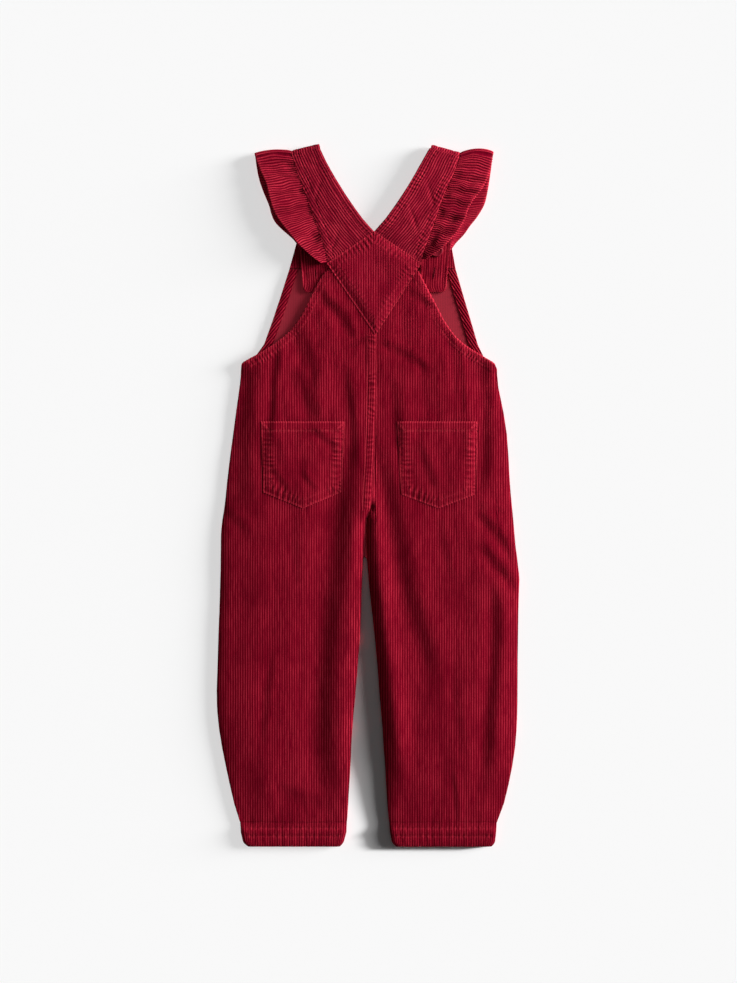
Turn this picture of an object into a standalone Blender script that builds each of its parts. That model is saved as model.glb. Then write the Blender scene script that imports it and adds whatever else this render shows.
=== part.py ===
"""Toddler overalls in corduroy, laid flat on their front with the back up.

Metres, +Z up, +Y towards the shoulders. The origin is under the middle of the garment, on the
surface that it lies on. Tables are in millimetres: x across the garment from its middle, and
height along it from the hem at the ankles. Heights off the surface are called lift.
"""

import math

import bmesh
import bpy
import numpy as np

MM = 0.001
LENGTH = 702.0          # ankle hem to the top of the folded straps
GAP = 0.3               # between neighbouring pieces at a seam

# Cloth
CLOTH = 1.6             # wall of one layer of corduroy
STRAP_WALL = 2.0        # the straps are two layers
RUFFLE_WALL = 1.4
POCKET_WALL = 1.4
YOKE_WALL = 1.6
HEM_WALL = 1.2          # turned edges inside the bib
HEM_RISE = 0.7          # a stitched hem stands this much over one layer
HEM_WIDTH = 8.5
HEM_STEP = 0.5          # half the width of the step up to a hem or a felled seam
FELL_WIDTH = 9.3        # felled seam up the middle of the back
FELL_RISE = 0.8
POCKET_LIFT = 0.65      # air between a patch pocket and the panel under it
FRONT_TOP = CLOTH       # the front panels lie on the surface
EDGE_LIFT = FRONT_TOP + GAP     # underside of the back along the legs' pressed edges

# Levels along the garment
CUFF_TOP = 24.0
CROTCH_FRONT = 289.0    # the two front panels meet above this
CROTCH_BACK = 334.0     # the two back panels meet above this
UNDERARM = 482.6
BIB_TOP = 606.0
BIB_HEM_LOW = 577.3     # lower edge of the bib's turned top hem

# Edges of the two legs and the seat, left and right of the middle.
# height, left side, left inner, right inner, right side
LEG_EDGES = (
    (0.0, -120.0, -28.0, 28.0, 123.5),
    (3.0, -124.0, -25.0, 24.5, 126.5),
    (8.0, -126.0, -22.5, 23.0, 127.5),
    (26.0, -128.0, -21.0, 21.0, 129.0),
    (41.0, -133.0, -20.0, 19.5, 135.0),
    (56.0, -136.5, -19.2, 18.6, 139.0),
    (71.0, -140.0, -18.4, 17.8, 142.0),
    (86.0, -143.0, -17.4, 16.8, 145.0),
    (101.0, -146.0, -16.8, 15.6, 147.0),
    (116.0, -148.4, -16.0, 14.8, 148.2),
    (131.0, -150.2, -14.8, 13.6, 149.0),
    (146.0, -151.0, -13.2, 12.0, 149.2),
    (176.0, -150.2, -10.8, 10.0, 149.2),
    (206.0, -149.4, -8.4, 7.2, 149.4),
    (233.0, -148.4, -7.2, 4.4, 150.0),
    (251.0, -147.2, -6.8, 2.2, 150.4),
    (271.0, -147.0, -6.2, 0.4, 151.0),
    (296.0, -147.0, -5.0, -1.6, 147.6),
    (311.0, -146.8, -3.8, -1.5, 146.2),
    (328.0, -145.0, -2.5, -1.1, 144.8),
    (336.0, -143.6, 2.8, 3.1, 144.0),
    (362.0, -140.8, 4.0, 4.3, 141.6),
    (386.0, -138.0, 5.4, 5.7, 140.4),
    (416.0, -134.0, 6.6, 6.9, 138.0),
    (446.0, -130.0, 7.4, 7.7, 132.8),
    (466.0, -127.2, 7.8, 8.1, 128.6),
    (474.0, -126.8, 8.0, 8.3, 129.4),
    (UNDERARM, -126.0, 8.1, 8.4, 126.0),
)

# Curved armholes of the back. height, left, right
ARMHOLES = (
    (UNDERARM, -126.0, 126.0),
    (487.0, -118.4, 118.6),
    (493.1, -107.0, 108.4),
    (499.8, -96.4, 97.8),
    (506.5, -86.9, 89.6),
    (514.1, -78.2, 83.2),
    (523.7, -70.6, 76.6),
    (536.1, -63.0, 70.2),
    (547.6, -57.2, 64.2),
    (560.1, -51.4, 57.6),
    (573.4, -43.2, 51.0),
)

# Side edges of the bib, above the underarm. height, left, right
BIB_EDGES = (
    (UNDERARM, -122.0, 124.0),
    (490.0, -110.5, 113.2),
    (502.0, -103.6, 109.4),
    (526.0, -95.0, 102.4),
    (550.0, -87.0, 95.2),
    (577.0, -78.4, 87.4),
    (603.0, -71.0, 82.8),
    (BIB_TOP, -70.4, 82.2),
)

# Middle seam of the front. height, x
FRONT_SEAM = (
    (CROTCH_FRONT, -3.4),
    (346.0, 0.0),
    (480.0, 3.0),
    (BIB_TOP, 5.0),
)

# Underside of the back over the surface, along the middle of each leg. height, lift
BACK_LIFT = (
    (CUFF_TOP, 3.7),
    (60.0, 5.2),
    (130.0, 6.3),
    (300.0, 6.3),
    (400.0, 5.6),
    (480.0, 4.9),
    (520.0, 5.1),
    (560.0, 5.7),
    (LENGTH, 5.7),
)
ROLL_WIDTH = 13.0       # the legs' folded edges round down over this distance
CROWN = 0.5             # a panel's middle over its edges
CROWN_WIDTH = 120.0     # of a panel that has its full crown
SLUMP = 1.8             # the body and legs fall away by this much towards their sides
SLUMP_WIDTH = 42.0
SLUMP_END = 460.0       # and less above here, up to the underarm
PANEL_STEPS = 13        # columns between a panel's edges

# Main folds of the back. Each is a hollow beside a ridge, with the hollow on its left.
# rise, width, then x and height from the upper end down
FOLDS = (
    (2.4, 18.0, ((-15.0, 420.0), (-16.0, 376.0), (-22.0, 346.0), (-26.0, 306.0), (-30.0, 266.0),
                 (-36.0, 226.0), (-39.0, 186.0), (-42.0, 146.0), (-43.0, 106.0), (-41.0, 66.0),
                 (-37.0, 30.0))),
    (1.3, 15.0, ((7.0, 426.0), (12.0, 395.0), (18.0, 371.0), (23.0, 351.0), (28.0, 331.0),
                 (32.0, 306.0), (37.0, 276.0), (42.0, 256.0), (48.0, 236.0), (57.0, 206.0),
                 (64.0, 176.0), (69.0, 146.0))),
    (1.2, 10.0, ((122.0, 286.0), (129.0, 246.0), (129.0, 206.0), (126.0, 166.0), (123.0, 126.0),
                 (121.0, 92.0), (116.0, 46.0))),
    (1.0, 10.0, ((-72.0, 530.0), (-62.0, 491.0), (-54.0, 471.0), (-48.0, 446.0))),
    (1.0, 10.0, ((-76.0, 484.0), (-67.0, 462.0), (-60.0, 449.0), (-52.0, 436.0), (-44.0, 426.0))),
    (1.0, 14.0, ((-114.0, 492.0), (-120.0, 440.0), (-122.0, 400.0), (-124.0, 330.0))),
    (1.0, 10.0, ((117.0, 510.0), (119.0, 466.0), (120.0, 426.0), (119.0, 386.0), (114.0, 340.0))),
    (0.7, 8.0, ((110.0, 336.0), (124.0, 320.0), (134.0, 308.0), (144.0, 296.0))),
    (0.7, 8.0, ((120.0, 298.0), (132.0, 278.0), (142.0, 268.0), (152.0, 260.0))),
)
FOLD_FORM = 2.33        # makes the ridge of a fold as high as its rise
FOLD_FADE = 0.22        # share of its length over which a fold comes in, and goes out
# Raised rim beside the inner edge of the right leg. rise, half width, x and height
RIMS = (
    (2.4, 10.0, ((3.0, 400.0), (7.0, 330.0), (12.0, 290.0), (16.0, 246.0), (21.0, 196.0),
                 (27.0, 146.0), (32.0, 96.0), (36.0, 30.0))),
)

# Heights of the rows of points
LEG_ROWS = (*np.linspace(CUFF_TOP + GAP, 286.0, 15), 300.0, 314.0, 326.0, 331.0, 336.0, 342.0)
SEAT_ROWS = (352.0, 368.0, 390.0, 412.0, 434.0, 452.0, 466.0, 475.0, UNDERARM)
ARMHOLE_ROWS = (486.0, 490.5, 495.5, 501.0, 508.0, 516.0, 526.0, 538.0, 549.0, 561.0, 573.4)
NECK_ROWS = (575.4, 583.0, 592.0, 601.0)
FRONT_ROWS = (*np.linspace(CUFF_TOP + GAP, CROTCH_FRONT - 2.0, 18), CROTCH_FRONT, 311.0, 336.0,
              362.0, 386.0, 416.0, 446.0, 466.0, 476.0, UNDERARM, 490.0, 502.0, 526.0, 550.0,
              577.0, BIB_TOP)
YOKE_ROWS = (511.0, 529.0, 547.0, 565.0, 582.0, 593.0, 604.0, 613.4)
YOKE_STEPS = 6
STRAP_STEPS = 5
STRAP_BACK_ROWS = 12
# The strap's first sections, under the yoke: heights of their outer and inner ends
STRAP_START = ((576.2, 604.1), (583.6, 613.4))
STRAP_CLEAR = (591.0, 620.0)    # the first section clear of the yoke
STRAP_FRONT_ROWS = (682.0, 664.0, 646.0, 633.0, 626.0, 618.0, 611.0, 596.0, 580.0, 570.0, 560.0,
                    556.5, 554.0, 553.4)

# Patch pockets. height, left edge, right edge
POCKET_HEM = 8.0
POCKET_STEPS = 12
POCKET_ROWS = (365.0, 378.0, 391.0, 404.0)
POCKET_SPAN = 4.0       # a pocket bridges the small hollows under it over this distance
POCKETS = {
    "pocket_left": ((338.0, -67.2, -62.8), (354.0, -104.4, -27.1), (424.0, -106.4, -23.0)),
    "pocket_right": ((338.0, 68.3, 72.7), (352.0, 33.2, 107.0), (424.0, 29.2, 110.0)),
}

# Kite-shaped yoke patch. height, left edge, right edge
YOKE_LIFT = 8.3
YOKE = ((511.0, 6.2, 8.8), (582.0, -40.7, 53.0), (613.4, 4.6, 7.6))
YOKE_TOP = (6.0, 613.6)
YOKE_SIDES = {"left": (-40.7, 582.0), "right": (53.0, 582.0)}
BACK_TUCK = 8.2         # the back panels stop this far inside the yoke's upper edges

# Straps on the back, from the yoke to the shoulder. height, left strap, right strap
STRAP_INNER = (
    (604.1, 5.8, 6.2),
    (614.0, 5.6, 6.5),
    (618.0, 2.0, 10.0),
    (626.0, -5.0, 17.0),
    (634.0, -11.0, 23.0),
    (650.0, -22.0, 34.0),
    (666.0, -32.0, 44.0),
    (682.0, -41.0, 53.0),
    (698.0, -48.6, 62.0),
)
STRAP_OUTER = (
    (576.2, -35.7, 47.8),
    (584.0, -40.0, 52.6),
    (595.0, -42.3, 55.7),
    (606.0, -46.2, 59.8),
    (617.0, -49.7, 64.1),
    (629.0, -54.1, 68.1),
    (641.0, -58.2, 72.0),
    (653.0, -63.0, 76.6),
    (665.0, -67.2, 82.0),
    (677.0, -71.8, 87.2),
    (691.0, -76.4, 91.6),
)

# Straps on the front, from the shoulder to the rounded tab inside the bib.
# height, left outer, left inner, right inner, right outer
STRAP_FRONT = (
    (690.0, -75.6, -47.6, 61.8, 90.6),
    (606.0, -68.6, -41.6, 54.8, 82.2),
    (560.0, -64.8, -38.8, 52.0, 78.0),
    (556.5, -64.4, -39.2, 52.4, 77.6),
    (554.0, -62.8, -41.0, 54.2, 75.8),
    (553.4, -60.6, -43.4, 56.6, 73.4),
)

# Underside of a strap over the surface. height, lift
STRAP_BACK_LIFT = ((576.0, 5.8), (585.0, 6.0), (597.0, 7.2), (612.0, 7.6), (640.0, 7.4),
                   (675.0, 6.8), (698.0, 6.0))
STRAP_FRONT_LIFT = ((553.0, 2.5), (579.0, 3.4), (610.0, 3.4), (632.0, 0.0), (698.0, 0.0))

# The shoulder folds. The outer and inner ends of each fold's outline, x and height.
FOLD_LINES = {
    "left": ((-77.0, 695.0), (-49.0, 702.0)),
    "right": ((92.4, 693.1), (63.8, 701.0)),
}
FOLD_RADIUS = 4.0       # over the outside of the cloth
FOLD_STEPS = 8

# Ruffles on the back: where each crosswise line leaves the strap, and where it ends.
# seam height left, left end x, left end height, seam height right, right end x, right end height
RUFFLE_BACK = (
    (583.5, -46.5, 582.0, 587.0, 57.5, 586.0),
    (593.0, -55.0, 588.3, 594.0, 63.5, 590.0),
    (603.0, -63.0, 595.3, 600.0, 70.8, 595.0),
    (613.0, -70.0, 602.3, 606.0, 77.0, 600.3),
    (621.0, -76.5, 610.5, 612.5, 82.5, 606.5),
    (629.0, -83.0, 618.5, 619.5, 88.0, 613.0),
    (635.0, -89.0, 626.5, 627.0, 93.5, 621.0),
    (643.5, -94.0, 636.0, 634.0, 96.8, 628.0),
    (650.0, -96.5, 643.5, 643.0, 100.0, 637.5),
    (657.0, -98.5, 651.0, 652.0, 104.5, 645.0),
    (668.0, -101.5, 663.0, 664.0, 113.5, 657.0),
    (677.0, -106.5, 674.0, 674.0, 119.0, 668.5),
    (684.5, -110.0, 683.0, 683.0, 122.3, 679.5),
    (690.8, -112.4, 688.4, 689.0, 124.6, 690.0),
)

# Ruffles on the front, from the shoulder to the bib's top edge.
RUFFLE_FRONT = (
    (690.8, -112.4, 688.4, 689.0, 124.0, 689.6),
    (680.0, -111.0, 678.0, 678.0, 123.0, 678.0),
    (666.0, -108.5, 666.0, 664.0, 121.0, 664.0),
    (651.0, -104.0, 653.0, 650.0, 118.9, 652.0),
    (638.0, -99.0, 641.0, 637.0, 116.0, 641.0),
    (626.0, -96.5, 632.0, 625.0, 109.0, 629.0),
    (616.0, -93.5, 625.0, 615.0, 101.5, 619.5),
    (608.0, -88.0, 618.5, 608.0, 95.5, 611.0),
)

# Where the gathers are pinched along the seam of each ruffle, on the back.
GATHERS = {
    "left": (583.5, 598.0, 611.0, 624.0, 639.0, 654.0, 668.0, 681.0, 694.0),
    "right": (587.0, 598.0, 613.0, 628.0, 641.0, 656.0, 668.0, 678.0, 692.0),
}
FRONT_GATHERS = 7
FRONT_GATHER_STEPS = 4
STEPS_PER_GATHER = 6
RUFFLE_STEPS = 5        # across a ruffle
RUFFLE_GAP = 0.45       # from the strap's edge
RUFFLE_RISE = 2.4       # free edge over the seam
RUFFLE_END_RISE = 1.6   # and this much more where the end passes over a button
RUFFLE_WAVE = (0.3, 1.5)        # half height of the waves at the seam and at the free edge
RUFFLE_BULGE = {"left": 2.4, "right": 3.9}      # past the strap's fold, at mid width
RUFFLE_BULGE_FORM = 0.7         # under 1, so the bulge is as wide as the ruffle
# Shares of a ruffle's back half over which its lower end lies calm, it calms towards the
# shoulder, its free edge comes down to the fold, and the extra rise dies away
RUFFLE_CALM = (0.06, 0.25)
RUFFLE_SMOOTH = (0.87, 1.0)
RUFFLE_SETTLE = (0.72, 1.0)
RUFFLE_OVER_BUTTON = (0.2, 0.45)
RUFFLE_LAST_ROW = 0.975         # the last crosswise line before the fold
FRONT_WAVE = 0.75               # share of the waves that the front half has at its free edge
FRONT_SWELL = 0.7
FRONT_SETTLE = 1.2              # the front half lies on the surface before its free edge
FRONT_START = 0.45              # its first crosswise line, in rows of its table

# Elasticated hem round each ankle
CUFF_WALL = 2.2
CUFF_LIFT = 5.9         # top of the back layer
CUFF_GATHERS = 14
CUFF_WAVE = 0.35
CUFF_DRIFT = 0.9        # makes the gathers' spacing uneven
CUFF_DRIFT_TURNS = 2.5
CUFF_DRIFT_START = {"left": 1.3, "right": 0.4}
CUFF_STEPS = 4          # points for each gather
CUFF_FRONT_STEPS = 8
CUFF_ROWS = (0.0, 1.6, 4.0, 14.0, CUFF_TOP)
CUFF_MOUTH = 0.5        # the open end is this much flatter
CUFF_CORNER = 3.0       # the tube's edges round over this distance
CUFF_ROUND = 0.6
CUFF_SIDE = 1.6         # half the height of the tube's upright sides, outside and inside
CUFF_SIDE_INSIDE = 0.3
CUFF_HOLLOW = 1.4       # from the inside of the wall to the hollow's flat part

# Bib hems and buttons
BIB_HEM_ROWS = (488.0, 502.0, 526.0, 550.0, BIB_HEM_LOW - GAP)     # they end under the armholes
BUTTON_RADIUS = 6.7
BUTTON_WALL = 1.8
BUTTON_EDGE = 0.5       # rounding of the rim
BUTTON_RIM = 1.3        # width of the rim
BUTTON_DISH = 0.5       # depth inside the rim
BUTTON_SLOPE = 0.6      # width of the slope from the rim to the dish
BUTTON_SEGMENTS = 24
BUTTON_LIFT = 5.7
BUTTON_HOLES = 4
BUTTON_HOLE_RADIUS = 0.85
BUTTON_HOLE_RING = 1.9
BUTTONS = {"button_left": (-53.5, 600.5), "button_right": (68.0, 595.3)}

RED = (0.171, 0.006, 0.018)
COLOURS = {
    "corduroy": RED,
    "corduroy_strap": (0.242, 0.008, 0.024),
    "corduroy_inside": (0.25, 0.022, 0.045),
    "button": (0.12, 0.008, 0.018),
}


def clear_scene():
    for thing in list(bpy.data.objects):
        bpy.data.objects.remove(thing, do_unlink=True)


def material(name):
    """A Principled material of one of the garment's colours."""
    made = bpy.data.materials.get(name) or bpy.data.materials.new(name)
    made.use_nodes = True
    shader = made.node_tree.nodes["Principled BSDF"]
    shader.inputs["Base Color"].default_value = (*COLOURS[name], 1.0)
    shader.inputs["Roughness"].default_value = 0.35 if name == "button" else 0.9
    shader.inputs["Metallic"].default_value = 0.0
    return made


def read(table, height, column=1):
    """A column of a table at a height, along a smooth curve through its rows."""
    rows = sorted(table)
    heights = np.array([row[0] for row in rows])
    values = np.array([row[column] for row in rows])
    slopes = np.gradient(values, heights)
    height = min(max(height, heights[0]), heights[-1])
    at = int(min(np.searchsorted(heights, height, side="right") - 1, len(rows) - 2))
    run = heights[at + 1] - heights[at]
    s = (height - heights[at]) / run
    near, far = values[at], values[at + 1]
    limit = 3.0 * abs(far - near) / run
    start, end = (float(np.clip(slopes[i], -limit, limit)) for i in (at, at + 1))
    return ((1 + 2 * s) * (1 - s) ** 2 * near + s * (1 - s) ** 2 * run * start
            + s * s * (3 - 2 * s) * far + s * s * (s - 1) * run * end)


def straight(table, height, column=1):
    """A column of a table at a height, along straight lines between its rows."""
    rows = sorted(table)
    return float(np.interp(height, [row[0] for row in rows], [row[column] for row in rows]))


def ease(value, low, high):
    """0 below low, 1 above high and a smooth step between."""
    s = min(max((value - low) / (high - low), 0.0), 1.0)
    return s * s * (3 - 2 * s)


def place(x, height, lift):
    """Table units to the world, in metres."""
    return (x * MM, (height - LENGTH / 2) * MM, lift * MM)


def add_object(name, corners, faces, colour):
    """One closed mesh, its points given as x, height and lift."""
    mesh = bpy.data.meshes.new(name)
    mesh.from_pydata([place(*corner) for corner in corners], [], faces)
    mesh.update()
    mesh.shade_smooth()
    mesh.set_sharp_from_angle(angle=math.radians(50))
    mesh.materials.append(material(colour))
    made = bpy.data.objects.new(name, mesh)
    bpy.context.scene.collection.objects.link(made)
    return made


def closed_sheet(name, top, bottom, colour):
    """A closed wall between two grids of points, rows along the garment and columns along +X."""
    rows, columns = len(top), len(top[0])
    corners = [point for row in top for point in row] + [point for row in bottom for point in row]
    under = rows * columns
    faces = []
    for row in range(rows - 1):
        for column in range(columns - 1):
            a = row * columns + column
            b, c, d = a + 1, a + columns + 1, a + columns
            faces.append((a, b, c, d))
            faces.append((under + d, under + c, under + b, under + a))
    rim = [column for column in range(columns)]
    rim += [row * columns + columns - 1 for row in range(1, rows)]
    rim += [(rows - 1) * columns + column for column in range(columns - 2, -1, -1)]
    rim += [row * columns for row in range(rows - 2, 0, -1)]
    for here, there in zip(rim, rim[1:] + rim[:1]):
        faces.append((there, here, under + here, under + there))
    return add_object(name, corners, faces, colour)


def side_column(side, left, right):
    return left if side == "left" else right


def yoke_line(side, tuck, x):
    """Height of a line parallel to a yoke's upper edge and this far inside it, at x."""
    corner = np.array(YOKE_SIDES[side])
    along = np.array(YOKE_TOP) - corner
    along /= np.linalg.norm(along)
    inward = np.array((along[1], -along[0])) * (1 if side == "left" else -1)
    start = corner + tuck * inward
    return start[1] + (x - start[0]) * along[1] / along[0]


def yoke_cross(side, tuck, height):
    """The x where that line is at a height."""
    low, high = yoke_line(side, tuck, 0.0), yoke_line(side, tuck, 1.0)
    return (height - low) / (high - low)


def back_side(side, height):
    """Outer edge of a back panel: side seam, armhole, then the line under the yoke."""
    if height <= UNDERARM:
        return read(LEG_EDGES, height, side_column(side, 1, 4))
    if height <= ARMHOLES[-1][0]:
        return read(ARMHOLES, height, side_column(side, 1, 2))
    return yoke_cross(side, BACK_TUCK, height)


def back_inner(side, height):
    return straight(LEG_EDGES, min(height, UNDERARM), side_column(side, 2, 3))


def softened(points):
    """A path with its corners cut twice."""
    path = np.array(points)
    for _ in range(2):
        near, far = path[:-1], path[1:]
        cut = np.stack([0.75 * near + 0.25 * far, 0.25 * near + 0.75 * far], 1).reshape(-1, 2)
        path = np.concatenate([path[:1], cut, path[-1:]])
    return path


def beside_path(path, x, height):
    """Distance to the right of a path that runs down the cloth, and how far along it, 0 to 1."""
    runs = np.diff(path, axis=0)
    lengths = np.linalg.norm(runs, axis=1)
    ways = runs / lengths[:, None]
    reach = np.array((x, height)) - path[:-1]
    along = np.clip((reach * ways).sum(axis=1), 0.0, lengths)
    distances = np.linalg.norm(reach - along[:, None] * ways, axis=1)
    at = int(np.argmin(distances))
    turn = ways[at, 0] * reach[at, 1] - ways[at, 1] * reach[at, 0]
    share = (lengths[:at].sum() + along[at]) / lengths.sum()
    return math.copysign(distances[at], turn), share


def fold_height(x, height):
    """Rise of the folds and rims of the back at a place."""
    rise = 0.0
    for group, form in ((FOLDS, FOLD_FORM), (RIMS, None)):
        for size, width, points in group:
            aside, along = beside_path(softened(points), x, height)
            across = aside / width
            fade = ease(along, 0.0, FOLD_FADE) * (1.0 - ease(along, 1.0 - FOLD_FADE, 1.0))
            height_here = form * across if form else 1.0
            rise += size * height_here * math.exp(-across * across) * fade
    return rise


def folded_edge(distance):
    """0 at a leg's pressed edge and 1 past the rounding, as a quarter of an ellipse."""
    near = min(max(distance / ROLL_WIDTH, 0.0), 1.0)
    return math.sqrt(1 - (1 - near) ** 2)


def back_lift(side, x, height):
    """Underside of the back of the garment over the surface."""
    outer, inner = back_side(side, height), back_inner(side, height)
    width = abs(inner - outer)
    share = min(max(abs(x - outer) / max(width, 1.0), 0.0), 1.0)
    middle = read(BACK_LIFT, height) + fold_height(x, height)
    middle += CROWN * math.sin(math.pi * share) * min(width / CROWN_WIDTH, 1.0)
    low = 1.0 - ease(height, SLUMP_END, UNDERARM)
    middle -= SLUMP * low * (1.0 - ease(abs(x - outer), 0.0, SLUMP_WIDTH))
    side_seam = 1.0 - ease(height, UNDERARM - 10.6, UNDERARM + 1.4)
    inseam = 1.0 - ease(height, CROTCH_BACK - 4.0, CROTCH_BACK + 12.0)
    round_side = 1.0 - side_seam * (1.0 - folded_edge(abs(x - outer)))
    round_inner = 1.0 - inseam * (1.0 - folded_edge(abs(x - inner)))
    return EDGE_LIFT + (middle - EDGE_LIFT) * round_side * round_inner


def hem_run(side, height):
    """Width of the armhole's hem, measured straight across the panel."""
    step = 1.0
    slope = (back_side(side, height + step) - back_side(side, height - step)) / (2 * step)
    return HEM_WIDTH * math.hypot(1.0, slope)


def back_columns(side, height):
    """Columns from the side to the middle: distance from the side, and rise over one layer."""
    width = abs(back_inner(side, height) - back_side(side, height))
    hemmed = ease(height, UNDERARM - 8.6, UNDERARM)
    run = min(hem_run(side, max(height, UNDERARM + 1.0)), 0.42 * width)
    edge = (0.0, 0.12 * ROLL_WIDTH, 0.4 * ROLL_WIDTH, ROLL_WIDTH)
    arm = (0.0, 0.35 * run, run - HEM_STEP, run + HEM_STEP)
    outer = [a + (b - a) * hemmed for a, b in zip(edge, arm)]
    rise = [HEM_RISE * hemmed] * 3 + [0.0]
    seamed = ease(height, CROTCH_BACK - 6.0, CROTCH_BACK + 2.0)
    fell = min(FELL_WIDTH, 0.4 * width)
    seam = (fell + HEM_STEP, fell - HEM_STEP, 0.5 * fell, 0.0)
    inner = [a + (b - a) * seamed for a, b in zip(reversed(edge), seam)]
    seam_rise = FELL_RISE * seamed if side == "left" else 0.0
    room = width - inner[0] - outer[-1]
    between = [outer[-1] + room * k / PANEL_STEPS for k in range(1, PANEL_STEPS)]
    distances = outer + between + [width - value for value in inner]
    rises = rise + [0.0] * len(between) + [0.0] + [seam_rise] * 3
    return distances, rises


def back_panel(side):
    """Back of one leg, the seat and the body, up to the yoke."""
    sign = side_column(side, 1, -1)
    top, bottom = [], []
    for height in (*LEG_ROWS, *SEAT_ROWS, *ARMHOLE_ROWS, *NECK_ROWS):
        outer = back_side(side, height)
        distances, rises = back_columns(side, height)
        places = sorted((outer + sign * distance, rise)
                        for distance, rise in zip(distances, rises))
        lifts = [back_lift(side, x, height) for x, rise in places]
        top.append([(x, height, lift + CLOTH + rise) for (x, rise), lift in zip(places, lifts)])
        bottom.append([(x, height, lift) for (x, rise), lift in zip(places, lifts)])
    return closed_sheet(f"back_{side}", top, bottom, "corduroy")


def front_side(side, height):
    if height <= UNDERARM - 4.0:
        return straight(LEG_EDGES, height, side_column(side, 1, 4))
    return straight(BIB_EDGES, max(height, UNDERARM), side_column(side, 1, 2))


def front_inner(side, height):
    if height < CROTCH_FRONT:
        return straight(LEG_EDGES, height, side_column(side, 2, 3))
    return straight(FRONT_SEAM, height) + side_column(side, -0.5, 0.5) * GAP


def front_panel(side):
    """Front of one leg and the body with its half of the bib, flat on the surface."""
    top, bottom = [], []
    for height in FRONT_ROWS:
        edges = sorted((front_side(side, height), front_inner(side, height)))
        places = [edges[0] + (edges[1] - edges[0]) * share for share in (0.0, 0.5, 1.0)]
        top.append([(x, height, FRONT_TOP) for x in places])
        bottom.append([(x, height, 0.0) for x in places])
    return closed_sheet(f"front_{side}", top, bottom, "corduroy_inside")


def cuff_sections(side, level):
    """Outside and inside loops of an ankle hem at one height, as x and lift."""
    low = read(LEG_EDGES, level, side_column(side, 1, 3))
    high = read(LEG_EDGES, level, side_column(side, 2, 4))
    inset = CUFF_WALL + CUFF_HOLLOW
    middle = 0.5 * CUFF_LIFT
    outside, inside = [], []
    for k in range(CUFF_GATHERS * CUFF_STEPS + 1):
        share = k / (CUFF_GATHERS * CUFF_STEPS)
        x = low + CUFF_CORNER + (high - low - 2 * CUFF_CORNER) * share
        turns = CUFF_DRIFT_TURNS * share
        drift = CUFF_DRIFT * math.sin(2 * math.pi * turns + CUFF_DRIFT_START[side])
        wave = CUFF_WAVE * math.cos(2 * math.pi * CUFF_GATHERS * share + drift)
        lift = CUFF_LIFT + wave * math.sin(math.pi * share) ** 0.5
        lift -= CUFF_MOUTH * (1.0 - ease(level, 0.0, 6.0))
        outside.append((x, lift))
        inside.append((min(max(x, low + inset), high - inset), lift - CUFF_WALL))
    near = high - CUFF_WALL
    outside += [(high - CUFF_ROUND, middle + CUFF_SIDE), (high, middle),
                (high - CUFF_ROUND, middle - CUFF_SIDE)]
    inside += [(near - CUFF_ROUND, middle + CUFF_SIDE_INSIDE), (near - CUFF_SIDE_INSIDE, middle),
               (near - CUFF_ROUND, middle - CUFF_SIDE_INSIDE)]
    for k in range(CUFF_FRONT_STEPS + 1):
        share = k / CUFF_FRONT_STEPS
        outside.append((high - CUFF_CORNER + (low - high + 2 * CUFF_CORNER) * share, 0.0))
        inside.append((high - inset + (low - high + 2 * inset) * share, CUFF_WALL))
    near = low + CUFF_WALL
    outside += [(low + CUFF_ROUND, middle - CUFF_SIDE), (low, middle),
                (low + CUFF_ROUND, middle + CUFF_SIDE)]
    inside += [(near + CUFF_ROUND, middle - CUFF_SIDE_INSIDE), (near + CUFF_SIDE_INSIDE, middle),
               (near + CUFF_ROUND, middle + CUFF_SIDE_INSIDE)]
    return outside, inside


def cuff(side):
    """Elasticated hem round an ankle: a tube pressed flat, open at both ends."""
    outer, inner = [], []
    for level in CUFF_ROWS:
        outside, inside = cuff_sections(side, level)
        outer.append([(x, level, lift) for x, lift in outside])
        inner.append([(x, level, lift) for x, lift in inside])
    around = len(outer[0])
    corners = [point for loop in outer + inner for point in loop]
    start_in = len(CUFF_ROWS) * around
    last = (len(CUFF_ROWS) - 1) * around
    faces = []
    for k in range(around):
        following = (k + 1) % around
        for row in range(0, last, around):
            a, b = row + k, row + following
            c, d = b + around, a + around
            faces.append((a, b, c, d))
            faces.append((start_in + d, start_in + c, start_in + b, start_in + a))
        faces.append((start_in + k, start_in + following, following, k))
        faces.append((last + k, last + following, start_in + last + following, start_in + last + k))
    return add_object(f"cuff_{side}", corners, faces, "corduroy")


def pocket_floor(side, x, height):
    """Underside of a pocket, which lies on the highest cloth near each place."""
    spans = ((0, 0), (-POCKET_SPAN, 0), (POCKET_SPAN, 0), (0, -POCKET_SPAN), (0, POCKET_SPAN))
    highest = max(back_lift(side, x + across, height + up) for across, up in spans)
    return highest + CLOTH + POCKET_LIFT


def pocket(name):
    """Five-sided patch pocket with a raised hem along its top."""
    side = "left" if name.endswith("left") else "right"
    table = POCKETS[name]
    top_height = table[-1][0]
    hem = top_height - POCKET_HEM
    heights = [table[0][0], table[1][0], *POCKET_ROWS, hem - HEM_STEP, hem + HEM_STEP, top_height]
    top, bottom = [], []
    for height in heights:
        low, high = straight(table, height, 1), straight(table, height, 2)
        places = [low + (high - low) * k / POCKET_STEPS for k in range(POCKET_STEPS + 1)]
        rise = HEM_RISE if height > hem else 0.0
        floor = [pocket_floor(side, x, height) for x in places]
        top.append([(x, height, lift + POCKET_WALL + rise) for x, lift in zip(places, floor)])
        bottom.append([(x, height, lift) for x, lift in zip(places, floor)])
    return closed_sheet(name, top, bottom, "corduroy")


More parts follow.
